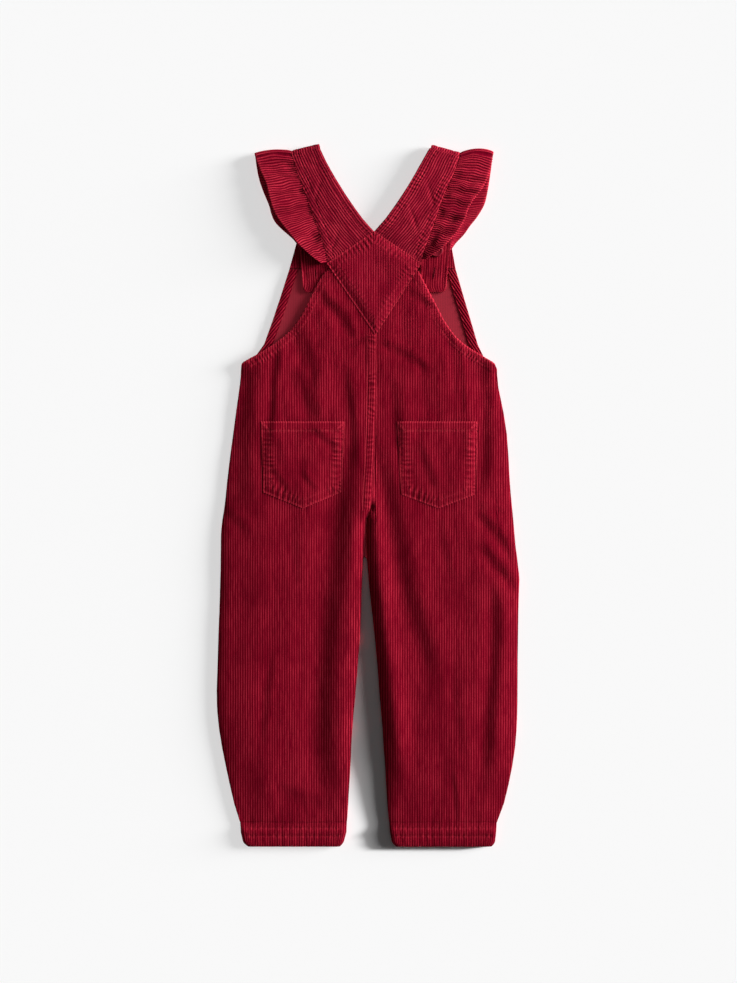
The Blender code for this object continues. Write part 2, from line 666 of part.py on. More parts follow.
def yoke_patch():
    """Kite-shaped patch over the ends of the straps."""
    top, bottom = [], []
    for height in YOKE_ROWS:
        low, high = straight(YOKE, height, 1), straight(YOKE, height, 2)
        places = [low + (high - low) * k / YOKE_STEPS for k in range(YOKE_STEPS + 1)]
        top.append([(x, height, YOKE_LIFT + YOKE_WALL) for x in places])
        bottom.append([(x, height, YOKE_LIFT) for x in places])
    return closed_sheet("yoke_patch", top, bottom, "corduroy_strap")


def fold_frame(side):
    """Start of the shoulder roll, as two ends, and the unit vector that points off the garment."""
    outer, inner = (np.array(end) for end in FOLD_LINES[side])
    along = (inner - outer) / np.linalg.norm(inner - outer)
    outward = np.array((-along[1], along[0]))
    if outward[1] < 0:
        outward = -outward
    return outer - FOLD_RADIUS * outward, inner - FOLD_RADIUS * outward, outward


def rolled(point, outward, angle, radius):
    """A point carried round the shoulder fold: its middle place and the way its outside faces."""
    ahead = np.array(point) + outward * radius * math.sin(angle)
    middle = (ahead[0], ahead[1], FOLD_RADIUS + radius * math.cos(angle))
    facing = (outward[0] * math.sin(angle), outward[1] * math.sin(angle), math.cos(angle))
    return middle, facing


def wall(points, thickness):
    """The two sides of a wall, from rows of middle points and the ways they face."""
    top, bottom = [], []
    for row in points:
        top.append([tuple(m + 0.5 * thickness * f for m, f in zip(*spot)) for spot in row])
        bottom.append([tuple(m - 0.5 * thickness * f for m, f in zip(*spot)) for spot in row])
    return top, bottom


def strap_outer_heights(side):
    """Heights of a strap's sections on its outer edge, from its end under the yoke to the roll."""
    heights = np.linspace(STRAP_CLEAR[0], fold_frame(side)[0][1], STRAP_BACK_ROWS)
    return [*(outer for outer, _ in STRAP_START), *heights]


def strap_edge(side, height):
    """The x of a strap's outer edge on the back, along its straight-sided sections."""
    heights = strap_outer_heights(side)
    edges = [read(STRAP_OUTER, at, side_column(side, 1, 2)) for at in heights[:-1]]
    return float(np.interp(height, heights, edges + [fold_frame(side)[0][0]]))


def strap(side):
    """A strap from under the yoke, over the shoulder and down to its rounded tab."""
    shares = np.linspace(0.0, 1.0, STRAP_STEPS)
    half = STRAP_WALL / 2
    rows = []
    roll_outer, roll_inner, outward = fold_frame(side)
    column = side_column(side, 1, 2)
    inner_heights = np.linspace(STRAP_CLEAR[1], roll_inner[1], STRAP_BACK_ROWS)
    inner_heights = [*(inner for _, inner in STRAP_START), *inner_heights]
    for inner_h, outer_h in zip(inner_heights[:-1], strap_outer_heights(side)[:-1]):
        inner = np.array((read(STRAP_INNER, inner_h, column), inner_h))
        outer = np.array((read(STRAP_OUTER, outer_h, column), outer_h))
        lift = straight(STRAP_BACK_LIFT, outer_h) + half
        rows.append([((*(outer + (inner - outer) * share), lift), (0.0, 0.0, 1.0))
                     for share in shares])
    for step in range(FOLD_STEPS + 1):
        angle = math.pi * step / FOLD_STEPS
        row = []
        for share in shares:
            spot = roll_outer + (roll_inner - roll_outer) * share
            row.append(rolled(spot, outward, angle, FOLD_RADIUS - half))
        rows.append(row)
    outer_column, inner_column = side_column(side, 1, 4), side_column(side, 2, 3)
    for height in STRAP_FRONT_ROWS:
        outer = straight(STRAP_FRONT, height, outer_column)
        inner = straight(STRAP_FRONT, height, inner_column)
        lift = read(STRAP_FRONT_LIFT, height) + half
        rows.append([((outer + (inner - outer) * share, height, lift), (0.0, 0.0, -1.0))
                     for share in shares])
    if side == "right":
        rows = [row[::-1] for row in rows]
    top, bottom = wall(rows, STRAP_WALL)
    return closed_sheet(f"strap_{side}", top, bottom, "corduroy_strap")


def ruffle_line(side, table, place_in_table):
    """Seam height and free end of a crosswise line of a ruffle, between two rows of its table."""
    rows = [(k, *row) for k, row in enumerate(table)]
    first = side_column(side, 1, 4)
    return [read(rows, place_in_table, first + k) for k in range(3)]


def gather_phase(side, seam_height):
    """Position among the gathers: whole numbers are pinches."""
    pinches = GATHERS[side]
    return float(np.interp(seam_height, pinches, range(len(pinches))))


def ruffle_back_row(side, at):
    """One crosswise line of a ruffle's back half, as middle points."""
    seam_h, end_x, end_h = ruffle_line(side, RUFFLE_BACK, at)
    sign = side_column(side, -1, 1)
    seam_x = strap_edge(side, seam_h) + sign * RUFFLE_GAP
    seam_lift = straight(STRAP_BACK_LIFT, seam_h) + STRAP_WALL / 2
    phase = gather_phase(side, seam_h)
    done = at / (len(RUFFLE_BACK) - 1)
    calm = (ease(done, *RUFFLE_CALM) * 0.8 + 0.2) * (1.0 - ease(done, *RUFFLE_SMOOTH))
    settle = 1.0 - ease(done, *RUFFLE_SETTLE)
    end_rise = RUFFLE_END_RISE * (1.0 - ease(done, *RUFFLE_OVER_BUTTON))
    row = []
    for k in range(RUFFLE_STEPS):
        share = k / (RUFFLE_STEPS - 1)
        x = seam_x + (end_x - seam_x) * share
        height = seam_h + (end_h - seam_h) * share
        wave = RUFFLE_WAVE[0] + (RUFFLE_WAVE[1] - RUFFLE_WAVE[0]) * share
        lift = seam_lift + (RUFFLE_RISE * settle + end_rise) * share ** 0.5
        lift -= calm * wave * math.cos(2 * math.pi * phase)
        row.append(((x, height, lift), (0.0, 0.0, 1.0)))
    return row


def ruffle_front_row(side, at, last):
    """One crosswise line of a ruffle's front half, which lies on the surface."""
    seam_h, end_x, end_h = ruffle_line(side, RUFFLE_FRONT, at)
    sign = side_column(side, -1, 1)
    seam_x = straight(STRAP_FRONT, seam_h, side_column(side, 1, 4)) + sign * RUFFLE_GAP
    seam_lift = max(read(STRAP_FRONT_LIFT, seam_h) + STRAP_WALL / 2, RUFFLE_WALL / 2)
    low = RUFFLE_WALL / 2
    calm = ease(at, 0.0, 1.0)
    row = []
    for k in range(RUFFLE_STEPS):
        share = k / (RUFFLE_STEPS - 1)
        x = seam_x + (end_x - seam_x) * share
        height = seam_h + (end_h - seam_h) * share
        wave = RUFFLE_WAVE[0] + (FRONT_WAVE * RUFFLE_WAVE[1] - RUFFLE_WAVE[0]) * share
        turn = 2 * math.pi * FRONT_GATHERS * at / last
        lift = seam_lift + (low - seam_lift) * min(1.0, FRONT_SETTLE * share)
        lift += FRONT_SWELL * calm * wave * (1 - math.cos(turn))
        row.append(((x, height, max(lift, low)), (0.0, 0.0, -1.0)))
    return row


def ruffle(side):
    """A gathered frill on a strap's outer edge, folded over the shoulder with it."""
    radius = FOLD_RADIUS - RUFFLE_WALL / 2
    roll_outer, roll_inner, outward = fold_frame(side)
    away = (roll_outer - roll_inner) / np.linalg.norm(roll_outer - roll_inner)
    seam = roll_outer + away * RUFFLE_GAP
    last_back, last_front = len(RUFFLE_BACK) - 1, len(RUFFLE_FRONT) - 1
    pinches = GATHERS[side]
    places = np.linspace(0, last_back, 10 * last_back + 1)
    seam_rows = [ruffle_line(side, RUFFLE_BACK, at)[0] for at in places]
    rows = []
    for k in range((len(pinches) - 1) * STEPS_PER_GATHER):
        seam_h = np.interp(k / STEPS_PER_GATHER, range(len(pinches)), pinches)
        at = float(np.interp(seam_h, seam_rows, places))
        if at < RUFFLE_LAST_ROW * last_back:
            rows.append(ruffle_back_row(side, at))
    start = np.array(ruffle_line(side, RUFFLE_BACK, last_back)[1:])
    finish = np.array(ruffle_line(side, RUFFLE_FRONT, 0.0)[1:])
    for step in range(FOLD_STEPS + 1):
        turn = step / FOLD_STEPS
        free = start + (finish - start) * turn
        row = []
        for k in range(RUFFLE_STEPS):
            share = k / (RUFFLE_STEPS - 1)
            bulge = RUFFLE_BULGE[side] * max(math.sin(math.pi * share), 0.0) ** RUFFLE_BULGE_FORM
            spot = seam + (free - seam) * share + bulge * outward
            row.append(rolled(spot, outward, math.pi * turn, radius))
        rows.append(row)
    steps = FRONT_GATHERS * FRONT_GATHER_STEPS
    for at in np.linspace(FRONT_START, last_front, steps + 1)[1:]:
        rows.append(ruffle_front_row(side, at, last_front))
    if side == "left":
        rows = [row[::-1] for row in rows]
    top, bottom = wall(rows, RUFFLE_WALL)
    return closed_sheet(f"ruffle_{side}", top, bottom, "corduroy_strap")


def bib_hem_side(side):
    """Turned edge down one side of the bib, on its inside."""
    column = side_column(side, 1, 2)
    sign = side_column(side, 1, -1)
    top, bottom = [], []
    for height in BIB_HEM_ROWS:
        edge = straight(BIB_EDGES, height, column) + sign * GAP
        places = sorted((edge, edge + sign * HEM_WIDTH * 0.5, edge + sign * HEM_WIDTH))
        top.append([(x, height, EDGE_LIFT + HEM_WALL) for x in places])
        bottom.append([(x, height, EDGE_LIFT) for x in places])
    return closed_sheet(f"bib_hem_{side}", top, bottom, "corduroy")


def bib_hem_top():
    """Turned hem along the top of the bib, on its inside."""
    top, bottom = [], []
    for height in np.linspace(BIB_HEM_LOW, BIB_TOP - GAP, 3):
        low, high = (straight(BIB_EDGES, height, column) for column in (1, 2))
        places = np.linspace(low + GAP, high - GAP, 5)
        top.append([(x, height, EDGE_LIFT + HEM_WALL) for x in places])
        bottom.append([(x, height, EDGE_LIFT) for x in places])
    return closed_sheet("bib_hem_top", top, bottom, "corduroy")


def button(name):
    """Flat four-hole button with a raised rim, turned about its own axis."""
    x, height = BUTTONS[name]
    rim = BUTTON_RADIUS - BUTTON_RIM
    profile = ((BUTTON_RADIUS - BUTTON_EDGE, 0.0), (BUTTON_RADIUS, BUTTON_EDGE),
               (BUTTON_RADIUS, BUTTON_WALL - BUTTON_EDGE), (BUTTON_RADIUS - BUTTON_EDGE, BUTTON_WALL),
               (rim, BUTTON_WALL), (rim - BUTTON_SLOPE, BUTTON_WALL - BUTTON_DISH))
    corners, faces = [], []
    for radius, lift in profile:
        for k in range(BUTTON_SEGMENTS):
            angle = 2 * math.pi * k / BUTTON_SEGMENTS
            corners.append((x + radius * math.cos(angle), height + radius * math.sin(angle),
                            BUTTON_LIFT + lift))
    for ring in range(len(profile) - 1):
        start = ring * BUTTON_SEGMENTS
        for k in range(BUTTON_SEGMENTS):
            a, b = start + k, start + (k + 1) % BUTTON_SEGMENTS
            faces.append((a, b, b + BUTTON_SEGMENTS, a + BUTTON_SEGMENTS))
    faces.append(tuple(range(BUTTON_SEGMENTS - 1, -1, -1)))
    last = (len(profile) - 1) * BUTTON_SEGMENTS
    faces.append(tuple(range(last, last + BUTTON_SEGMENTS)))
    made = add_object(name, corners, faces, "button")
    for k in range(BUTTON_HOLES):
        angle = 2 * math.pi * (k + 0.5) / BUTTON_HOLES
        mesh = bpy.data.meshes.new(f"{name}_hole_{k}")
        shape = bmesh.new()
        bmesh.ops.create_cone(shape, cap_ends=True, segments=10, depth=3 * BUTTON_WALL * MM,
                              radius1=BUTTON_HOLE_RADIUS * MM, radius2=BUTTON_HOLE_RADIUS * MM)
        shape.to_mesh(mesh)
        shape.free()
        drill = bpy.data.objects.new(f"{name}_hole_{k}", mesh)
        drill.location = place(x + BUTTON_HOLE_RING * math.cos(angle),
                               height + BUTTON_HOLE_RING * math.sin(angle),
                               BUTTON_LIFT + BUTTON_WALL / 2)
        drill.hide_render = True
        drill.display_type = "WIRE"
        bpy.context.scene.collection.objects.link(drill)
        cut = made.modifiers.new(f"hole_{k}", "BOOLEAN")
        cut.operation = "DIFFERENCE"
        cut.solver = "EXACT"
        cut.object = drill
    return made


def main():
    clear_scene()
    for side in ("left", "right"):
        front_panel(side)
        back_panel(side)
        cuff(side)
        bib_hem_side(side)
        strap(side)
        ruffle(side)
    bib_hem_top()
    yoke_patch()
    for name in POCKETS:
        pocket(name)
    for name in BUTTONS:
        button(name)


main()
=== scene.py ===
"""Looks of the toddler overalls: corduroy with real wales, seams, stitches, ruffles and buttons.

Work is in millimetres: x across, height from the ankle hem, lift off the surface. Each point also
carries its place in the cloth (across the wales and along them) and a value for its wear with
painted highlight above 0 and painted shade below 0, and the materials read that.
"""

import math

import bpy
import numpy as np
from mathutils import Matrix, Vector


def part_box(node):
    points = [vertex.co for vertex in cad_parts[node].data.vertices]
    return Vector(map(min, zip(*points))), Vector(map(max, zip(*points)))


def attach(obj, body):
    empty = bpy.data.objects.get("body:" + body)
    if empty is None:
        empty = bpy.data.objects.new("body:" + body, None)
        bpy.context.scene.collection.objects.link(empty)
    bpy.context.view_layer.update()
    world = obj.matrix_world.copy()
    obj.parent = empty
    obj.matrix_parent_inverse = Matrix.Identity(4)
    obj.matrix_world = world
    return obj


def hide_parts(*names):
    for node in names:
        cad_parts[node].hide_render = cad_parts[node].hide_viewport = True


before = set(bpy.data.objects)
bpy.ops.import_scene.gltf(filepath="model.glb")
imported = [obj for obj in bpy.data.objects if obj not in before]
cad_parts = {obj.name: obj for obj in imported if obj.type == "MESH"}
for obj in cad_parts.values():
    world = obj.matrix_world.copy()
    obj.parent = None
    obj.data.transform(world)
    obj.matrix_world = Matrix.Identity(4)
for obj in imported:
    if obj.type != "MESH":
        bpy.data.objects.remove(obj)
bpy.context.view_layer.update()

MM = 0.001
LENGTH = 702.0
OUTLINE_STEP = 0.5          # between the heights at which outlines are read
SIDES = ("left", "right")

# Corduroy
WALE = 2.45                 # from one ridge to the next
RIDGE = 0.14                # height of a ridge over its groove
WALE_STEPS = (0.0, 0.12, 0.3, 0.5, 0.7, 0.88)
CLOTH = 1.6
STRAP_WALL = 2.0
RUFFLE_WALL = 1.4
CUFF_WALL = 2.2
POCKET_WALL = 1.4
YOKE_WALL = 1.6
PRESSED_WALL = 0.42         # of a patch along its turned edge
HEM_WALL = 1.2
HEM_RIDGE = 0.7             # height of the ridges on the bib's side hems
RUFFLE_RIDGE = 0.5
FAR_STEPS = (3, 6)          # a far side has every third row and every sixth column of points
# Loops of points down an edge: share of the wall, and how far they stand out
EDGE_LOOPS = ((0.4, 0.2), (1.0, -0.1))
# Distances from a piece's lower and upper edge at which its columns have points
BACK_STEPS = (*np.arange(0.0, 15.0, 0.95), 17.0, 19.5)
PATCH_STEPS = (*np.arange(0.0, 11.0, 0.9), 12.5, 15.0)
FRONT_STEPS = (0.0, 1.0, 3.0, 6.0)
EDGE_LIFT = 1.9             # underside of the back along the legs' pressed edges
ROLL_WIDTH = 13.0
SLUMP, SLUMP_WIDTH = 1.8, 42.0      # how the body and legs fall away towards their sides

# Seams
HEM_WIDTH = 8.5
HEM_RISE = 0.35
FELL_WIDTH = 8.6
STITCH = 3.0                # from one stitch to the next
STITCH_RADIUS = 0.26
STITCH_SIDES = 5
# Sections of a stitch: place in its run, share of its radius, and how far it dips into the cloth
STITCH_FORM = ((0.12, 0.12, 0.25), (0.36, 1.0, 0.0), (0.64, 1.0, 0.0), (0.88, 0.12, 0.25))
EDGE_ROW = 1.3              # row of stitches next to an edge
INNER_ROW = 7.4             # second row
BEAD = 0.35                 # the wales' ends stand out from a turned edge

# Levels
CUFF_TOP = 24.0
CUFF_ROWS = (10.5, 18.5)    # stitches that hold the ankle elastic
CROTCH_BACK = 334.0
UNDERARM = 482.6
ARMHOLE_TOP = 573.4
FELL_TOP = 512.0
POCKET_SHOULDERS = {"left": 354.0, "right": 352.0}      # where a pocket's sides begin to taper
BIB_HEM_LOW = 577.3

# Underside of the back over the surface, mid leg. height, lift
BACK_LIFT = ((CUFF_TOP, 3.7), (60.0, 5.2), (130.0, 6.3), (300.0, 6.3), (400.0, 5.6),
             (480.0, 4.9), (520.0, 5.1), (560.0, 5.7), (LENGTH, 5.7))

# Main folds of the back. Each has a hollow on its left and a ridge on its right.
# rise, width, points from the upper end down
FOLDS = (
    (2.4, 18.0, ((-15.0, 420.0), (-16.0, 376.0), (-22.0, 346.0), (-26.0, 306.0), (-30.0, 266.0),
                 (-36.0, 226.0), (-39.0, 186.0), (-42.0, 146.0), (-43.0, 106.0), (-41.0, 66.0),
                 (-37.0, 30.0))),
    (1.3, 15.0, ((7.0, 426.0), (12.0, 395.0), (18.0, 371.0), (23.0, 351.0), (28.0, 331.0),
                 (32.0, 306.0), (37.0, 276.0), (42.0, 256.0), (48.0, 236.0), (57.0, 206.0),
                 (64.0, 176.0), (69.0, 146.0))),
    (1.2, 10.0, ((122.0, 286.0), (129.0, 246.0), (129.0, 206.0), (126.0, 166.0),
                 (123.0, 126.0), (121.0, 92.0), (116.0, 46.0))),
    (1.1, 12.0, ((-72.0, 530.0), (-62.0, 491.0), (-54.0, 471.0), (-48.0, 446.0))),
    (1.2, 12.0, ((-76.0, 484.0), (-67.0, 462.0), (-60.0, 449.0), (-52.0, 436.0),
                 (-44.0, 426.0))),
    (1.0, 14.0, ((-114.0, 492.0), (-120.0, 440.0), (-122.0, 400.0), (-124.0, 330.0))),
    (1.0, 10.0, ((117.0, 510.0), (119.0, 466.0), (120.0, 426.0), (119.0, 386.0),
                 (114.0, 340.0))),
    (0.9, 8.0, ((106.0, 340.0), (124.0, 320.0), (136.0, 305.0), (150.0, 288.0))),
    (1.0, 8.0, ((112.0, 306.0), (130.0, 280.0), (142.0, 268.0), (156.0, 258.0))),
)
# Raised rims along the inner edges of the legs. rise, half width, points
RIMS = (
    (2.4, 10.0, ((3.0, 400.0), (7.0, 330.0), (12.0, 290.0), (16.0, 246.0), (21.0, 196.0),
                 (27.0, 146.0), (32.0, 96.0), (36.0, 30.0))),
)

FOLD_FORM = 2.33            # makes a fold's ridge as high as its rise

# Smaller folds, in the same form as the main ones
CREASES = (
    (0.9, 9.0, ((-18.0, 484.0), (-17.0, 446.0), (-15.0, 426.0), (-13.0, 400.0), (-16.0, 366.0))),
    (0.9, 7.0, ((-54.0, 562.0), (-40.0, 546.0), (-24.0, 526.0), (-10.0, 508.0))),
    (0.5, 5.0, ((34.0, 560.0), (50.0, 550.0), (74.0, 534.0))),
    (0.6, 7.0, ((80.0, 522.0), (86.0, 500.0), (90.0, 470.0), (88.0, 440.0))),
    (0.5, 9.0, ((24.0, 476.0), (30.0, 450.0), (32.0, 420.0), (28.0, 390.0))),
    (0.4, 5.0, ((104.0, 344.0), (120.0, 339.0), (137.0, 334.0))),
    (0.4, 4.5, ((91.0, 508.0), (94.0, 478.0), (97.0, 446.0), (96.0, 424.0))),
    (0.7, 5.5, ((8.0, 505.0), (26.0, 499.0), (44.0, 489.0), (66.0, 473.0))),
    (0.5, 4.5, ((-58.0, 548.0), (-40.0, 543.0), (-26.0, 537.0), (-12.0, 526.0))),
    (0.7, 4.5, ((-52.0, 494.0), (-33.0, 499.0), (-18.0, 505.0), (0.0, 511.0))),
    (0.25, 3.0, ((-48.0, 482.0), (-32.0, 479.0), (-14.0, 479.0))),
    (0.45, 5.5, ((-58.0, 417.0), (-48.0, 412.0), (-38.0, 404.0), (-28.0, 393.0))),
    (0.5, 5.5, ((-86.0, 510.0), (-93.0, 470.0), (-95.0, 440.0), (-98.0, 396.0))),
    (0.35, 6.0, ((-150.0, 340.0), (-132.0, 328.0), (-116.0, 312.0))),
    (0.4, 9.0, ((-96.0, 66.0), (-70.0, 52.0), (-48.0, 44.0), (-24.0, 40.0))),
    (0.3, 4.5, ((84.0, 80.0), (88.0, 52.0), (90.0, 20.0))),
    (0.3, 6.0, ((-92.0, 200.0), (-101.0, 150.0), (-104.0, 96.0))),
    (0.25, 7.0, ((70.0, 336.0), (76.0, 300.0), (88.0, 262.0))),
    (0.25, 7.0, ((92.0, 210.0), (88.0, 160.0), (92.0, 120.0), (102.0, 80.0))),
    (0.25, 8.0, ((-70.0, 340.0), (-72.0, 300.0), (-66.0, 252.0))),
    (0.25, 8.0, ((-56.0, 250.0), (-64.0, 190.0), (-66.0, 130.0))),
    (0.3, 5.0, ((-99.0, 384.0), (-91.0, 372.0), (-84.0, 362.0), (-76.0, 352.0))),
    (0.3, 5.0, ((-68.0, 378.0), (-60.0, 366.0), (-50.0, 354.0))),
    (0.4, 7.0, ((52.0, 402.0), (60.0, 380.0), (70.0, 354.0))),
)

# Yoke
YOKE_LIFT = 8.3
YOKE_TOP = (6.0, 613.6)
YOKE_SIDES = {"left": (-40.7, 582.0), "right": (53.0, 582.0)}

# Straps on the back. height, left strap, right strap
STRAP_INNER = ((604.1, 5.8, 6.2), (614.0, 5.6, 6.5), (618.0, 2.0, 10.0), (626.0, -5.0, 17.0),
               (634.0, -11.0, 23.0), (650.0, -22.0, 34.0), (666.0, -32.0, 44.0),
               (682.0, -41.0, 53.0), (698.0, -48.6, 62.0))
STRAP_OUTER = ((576.2, -35.7, 47.8), (584.0, -40.0, 52.6), (595.0, -42.3, 55.7),
               (606.0, -46.2, 59.8), (617.0, -49.7, 64.1), (629.0, -54.1, 68.1),
               (641.0, -58.2, 72.0), (653.0, -63.0, 76.6), (665.0, -67.2, 82.0),
               (677.0, -71.8, 87.2), (691.0, -76.4, 91.6))
# Straps on the front. height, left outer, left inner, right inner, right outer
STRAP_FRONT = ((690.0, -75.6, -47.6, 61.8, 90.6), (606.0, -68.6, -41.6, 54.8, 82.2),
               (560.0, -64.8, -38.8, 52.0, 78.0), (556.5, -64.4, -39.2, 52.4, 77.6),
               (554.0, -62.8, -41.0, 54.2, 75.8), (553.4, -60.6, -43.4, 56.6, 73.4))
STRAP_BACK_LIFT = ((576.0, 5.8), (585.0, 6.0), (597.0, 7.2), (612.0, 7.6), (640.0, 7.4),
                   (675.0, 6.8), (698.0, 6.0))
STRAP_FRONT_LIFT = ((553.0, 2.5), (579.0, 3.4), (610.0, 3.4), (632.0, 0.0), (698.0, 0.0))
FOLD_LINES = {"left": ((-77.0, 695.0), (-49.0, 702.0)), "right": ((92.4, 693.1), (63.8, 701.0))}
FOLD_RADIUS = 4.0
# Slanting creases. place along the strap, lean, depth, half width, distance from the outer edge
STRAP_CREASES = {
    "left": ((22.0, 0.9, 0.5, 3.5, 12.0), (50.0, -0.7, 0.45, 3.5, 16.0),
             (74.0, 1.1, 0.5, 3.5, 13.0), (98.0, -0.9, 0.4, 3.0, 18.0)),
    "right": ((24.0, -0.8, 0.6, 3.5, 14.0), (40.0, 1.0, 0.5, 3.0, 20.0),
              (70.0, 1.2, 0.5, 3.5, 12.0), (92.0, -0.8, 0.45, 3.0, 16.0)),
}
BUTTONHOLE = 15.0

# Crosswise lines of the ruffles. Seam height, free end x and height, on the left then the right.
RUFFLE_BACK = (
    (583.5, -46.5, 582.0, 587.0, 57.5, 586.0), (593.0, -55.0, 588.3, 594.0, 63.5, 590.0),
    (603.0, -63.0, 595.3, 600.0, 70.8, 595.0), (613.0, -70.0, 602.3, 606.0, 77.0, 600.3),
    (621.0, -76.5, 610.5, 612.5, 82.5, 606.5), (629.0, -83.0, 618.5, 619.5, 88.0, 613.0),
    (635.0, -89.0, 626.5, 627.0, 93.5, 621.0), (643.5, -94.0, 636.0, 634.0, 96.8, 628.0),
    (650.0, -96.5, 643.5, 643.0, 100.0, 637.5), (657.0, -98.5, 651.0, 652.0, 104.5, 645.0),
    (668.0, -101.5, 663.0, 664.0, 113.5, 657.0), (677.0, -106.5, 674.0, 674.0, 119.0, 668.5),
    (684.5, -110.0, 683.0, 683.0, 122.3, 679.5), (690.8, -112.4, 688.4, 689.0, 124.6, 690.0),
)
RUFFLE_FRONT = (
    (690.8, -112.4, 688.4, 689.0, 124.0, 689.6), (680.0, -111.0, 678.0, 678.0, 123.0, 678.0),
    (666.0, -108.5, 666.0, 664.0, 121.0, 664.0), (651.0, -104.0, 653.0, 650.0, 118.9, 652.0),
    (638.0, -99.0, 641.0, 637.0, 116.0, 641.0), (626.0, -96.5, 632.0, 625.0, 109.0, 629.0),
    (616.0, -93.5, 625.0, 615.0, 101.5, 619.5), (608.0, -88.0, 618.5, 608.0, 95.5, 611.0),
    (601.0, -79.5, 611.0, 601.0, 88.3, 603.5), (595.0, -71.0, 603.5, 594.0, 83.9, 597.5),
)
GATHERS = {
    "left": (585.0, 598.0, 611.0, 624.0, 639.0, 654.0, 668.0, 681.0, 694.0),
    "right": (585.0, 598.0, 613.0, 628.0, 641.0, 656.0, 668.0, 678.0, 692.0),
}
FRONT_GATHERS = 7
RUFFLE_GAP = 0.45
RUFFLE_RISE = 2.4
RUFFLE_END_RISE = 1.6
RUFFLE_WAVE = (0.25, 1.0)
RUFFLE_SEAM = 0.4           # middle of its wall over the underside of the strap, at the seam
RUFFLE_BULGE = {"left": 2.4, "right": 3.9}
# Hollows between the gathers, painted with shade too. seam height, share of the width from the
# seam, size, depth
DIMPLES = {
    "left": ((609.0, 0.25, 6.0, 1.3), (633.0, 0.1, 3.5, 0.7), (655.0, 0.1, 4.0, 0.8),
             (676.0, 0.15, 4.5, 0.8)),
    "right": ((634.0, 0.12, 4.0, 1.3), (629.0, 0.62, 5.0, 1.2), (606.0, 0.28, 6.5, 1.6),
              (650.0, 0.1, 4.0, 0.9), (672.0, 0.1, 4.0, 0.7)),
}
RUFFLE_LOW_END_SHADE = {"left": 0.45, "right": 0.15}  # painted shade on its lowest gathers
RUFFLE_PITCH = 2.45
RUFFLE_BEAD = 0.02          # the wales stand out of the free edge by this share of their length
RUFFLE_WIDTH = 35.0         # from the seam to the free edge, along the cloth
RUFFLE_POINTS = 27          # along each wale
FOLD_WALES = 5              # on the fold over the shoulder

# Ankle hems
CUFF_LIFT = 5.9
CUFF_WAVE = 0.1
LEG_WAVE = 0.07
CUFF_GATHERS = 14

# The camera's picture, in pixels, with one pixel for each millimetre
PICTURE = (737.0, 983.0)
PICTURE_CENTRE = (0.5, 3.5)     # in millimetres from the middle of the garment
CAMERA_LENS = 100.0
SENSOR = 36.0

# Light. The garment has a low soft key from the right. The floor has its own, because round a
# garment cut out on white the shadow is faint, and between its legs it is deep.
# power, degrees over the surface, degrees from +X towards the shoulders, spread
KEY = (5.32, 18.0, 20.0, 28.0)
KEY_OPEN = (2.3, 18.0, 20.0, 28.0)      # the back's edges, the yoke and the straps let it by
SKY = (0.28, 75.0, 20.0, 130.0)
FLOOR_DEEP = (11.3, 10.4, 8.0, 5.0)     # only the right leg blocks it
FLOOR_SOFT = (4.4, 12.6, 12.0, 22.0)
FILL = 0.062
LAMP = (1.15, (0.42, 0.38, 0.26), 0.3)  # a soft lamp off the right shoulder. power, place, size
LAMP_AIM = 0.2                          # up the garment from its middle

# Cloth colours: groove (painted shade), pile, and the bright crest of a wale (painted highlight)
RED = ((0.108, 0.0003, 0.0065), (0.165, 0.0012, 0.0110), (0.35, 0.0150, 0.0320))
# The yoke, strap and ruffle copies of the one cloth are painted lighter, with brighter highlight
YOKE_RED = ((0.125, 0.0005, 0.0080), (0.190, 0.0020, 0.0140), (0.38, 0.0180, 0.0370))
STRAP_RED = ((0.120, 0.0006, 0.0085), (0.205, 0.0035, 0.0175), (0.48, 0.0280, 0.0500))
RUFFLE_RED = ((0.115, 0.0004, 0.0080), (0.215, 0.0030, 0.0170), (0.52, 0.0280, 0.0520))
# Pale colour of rubbed pile, also used as painted highlight on edges, stitches and puckers
WEAR_AND_HIGHLIGHT = (0.52, 0.026, 0.050)
INSIDE = (0.34, 0.018, 0.036)
THREAD = (0.26, 0.005, 0.020)
BUTTON_RED = (0.150, 0.004, 0.013)


# ---------------------------------------------------------------- small helpers

def column(table, height, index=1):
    """A column of a table at heights, along a smooth curve through its rows."""
    rows = sorted(table)
    heights = np.array([row[0] for row in rows])
    values = np.array([row[index] for row in rows])
    slopes = np.gradient(values, heights)
    height = np.clip(np.asarray(height, float), heights[0], heights[-1])
    at = np.clip(np.searchsorted(heights, height, side="right") - 1, 0, len(rows) - 2)
    run = heights[at + 1] - heights[at]
    s = (height - heights[at]) / run
    near, far = values[at], values[at + 1]
    limit = 3.0 * np.abs(far - near) / run
    start = np.clip(slopes[at], -limit, limit)
    end = np.clip(slopes[at + 1], -limit, limit)
    return ((1 + 2 * s) * (1 - s) ** 2 * near + s * (1 - s) ** 2 * run * start
            + s * s * (3 - 2 * s) * far + s * s * (s - 1) * run * end)


def straight(table, height, index=1):
    """A column of a table at heights, along straight lines between its rows."""
    rows = sorted(table)
    return np.interp(height, [row[0] for row in rows], [row[index] for row in rows])


def ease(value, low, high):
    """A smooth step from 0 at the low end to 1 at the high end."""
    s = np.clip((np.asarray(value, float) - low) / (high - low), 0.0, 1.0)
    return s * s * (3 - 2 * s)


def unevenness(x, y, size, seed):
    """A smooth random field from -1 to 1 with bumps of about this size."""
    spin = np.random.default_rng(seed)
    total = 0.0
    for _ in range(6):
        angle, phase = spin.uniform(0, 2 * math.pi, 2)
        stretch = spin.uniform(0.7, 1.5) * 2 * math.pi / (2.2 * size)
        total = total + np.sin(stretch * (x * math.cos(angle) + y * math.sin(angle)) + phase)
    return total / 3.4


def side_pick(side, left, right):
    return left if side == "left" else right


def wale_shape(phase):
    """Height of a wale, 0 in the groove and 1 on the ridge, over one turn of the phase."""
    away = np.abs(2 * (phase % 1.0) - 1.0)
    return (0.5 + 0.5 * np.cos(math.pi * away)) ** 1.2


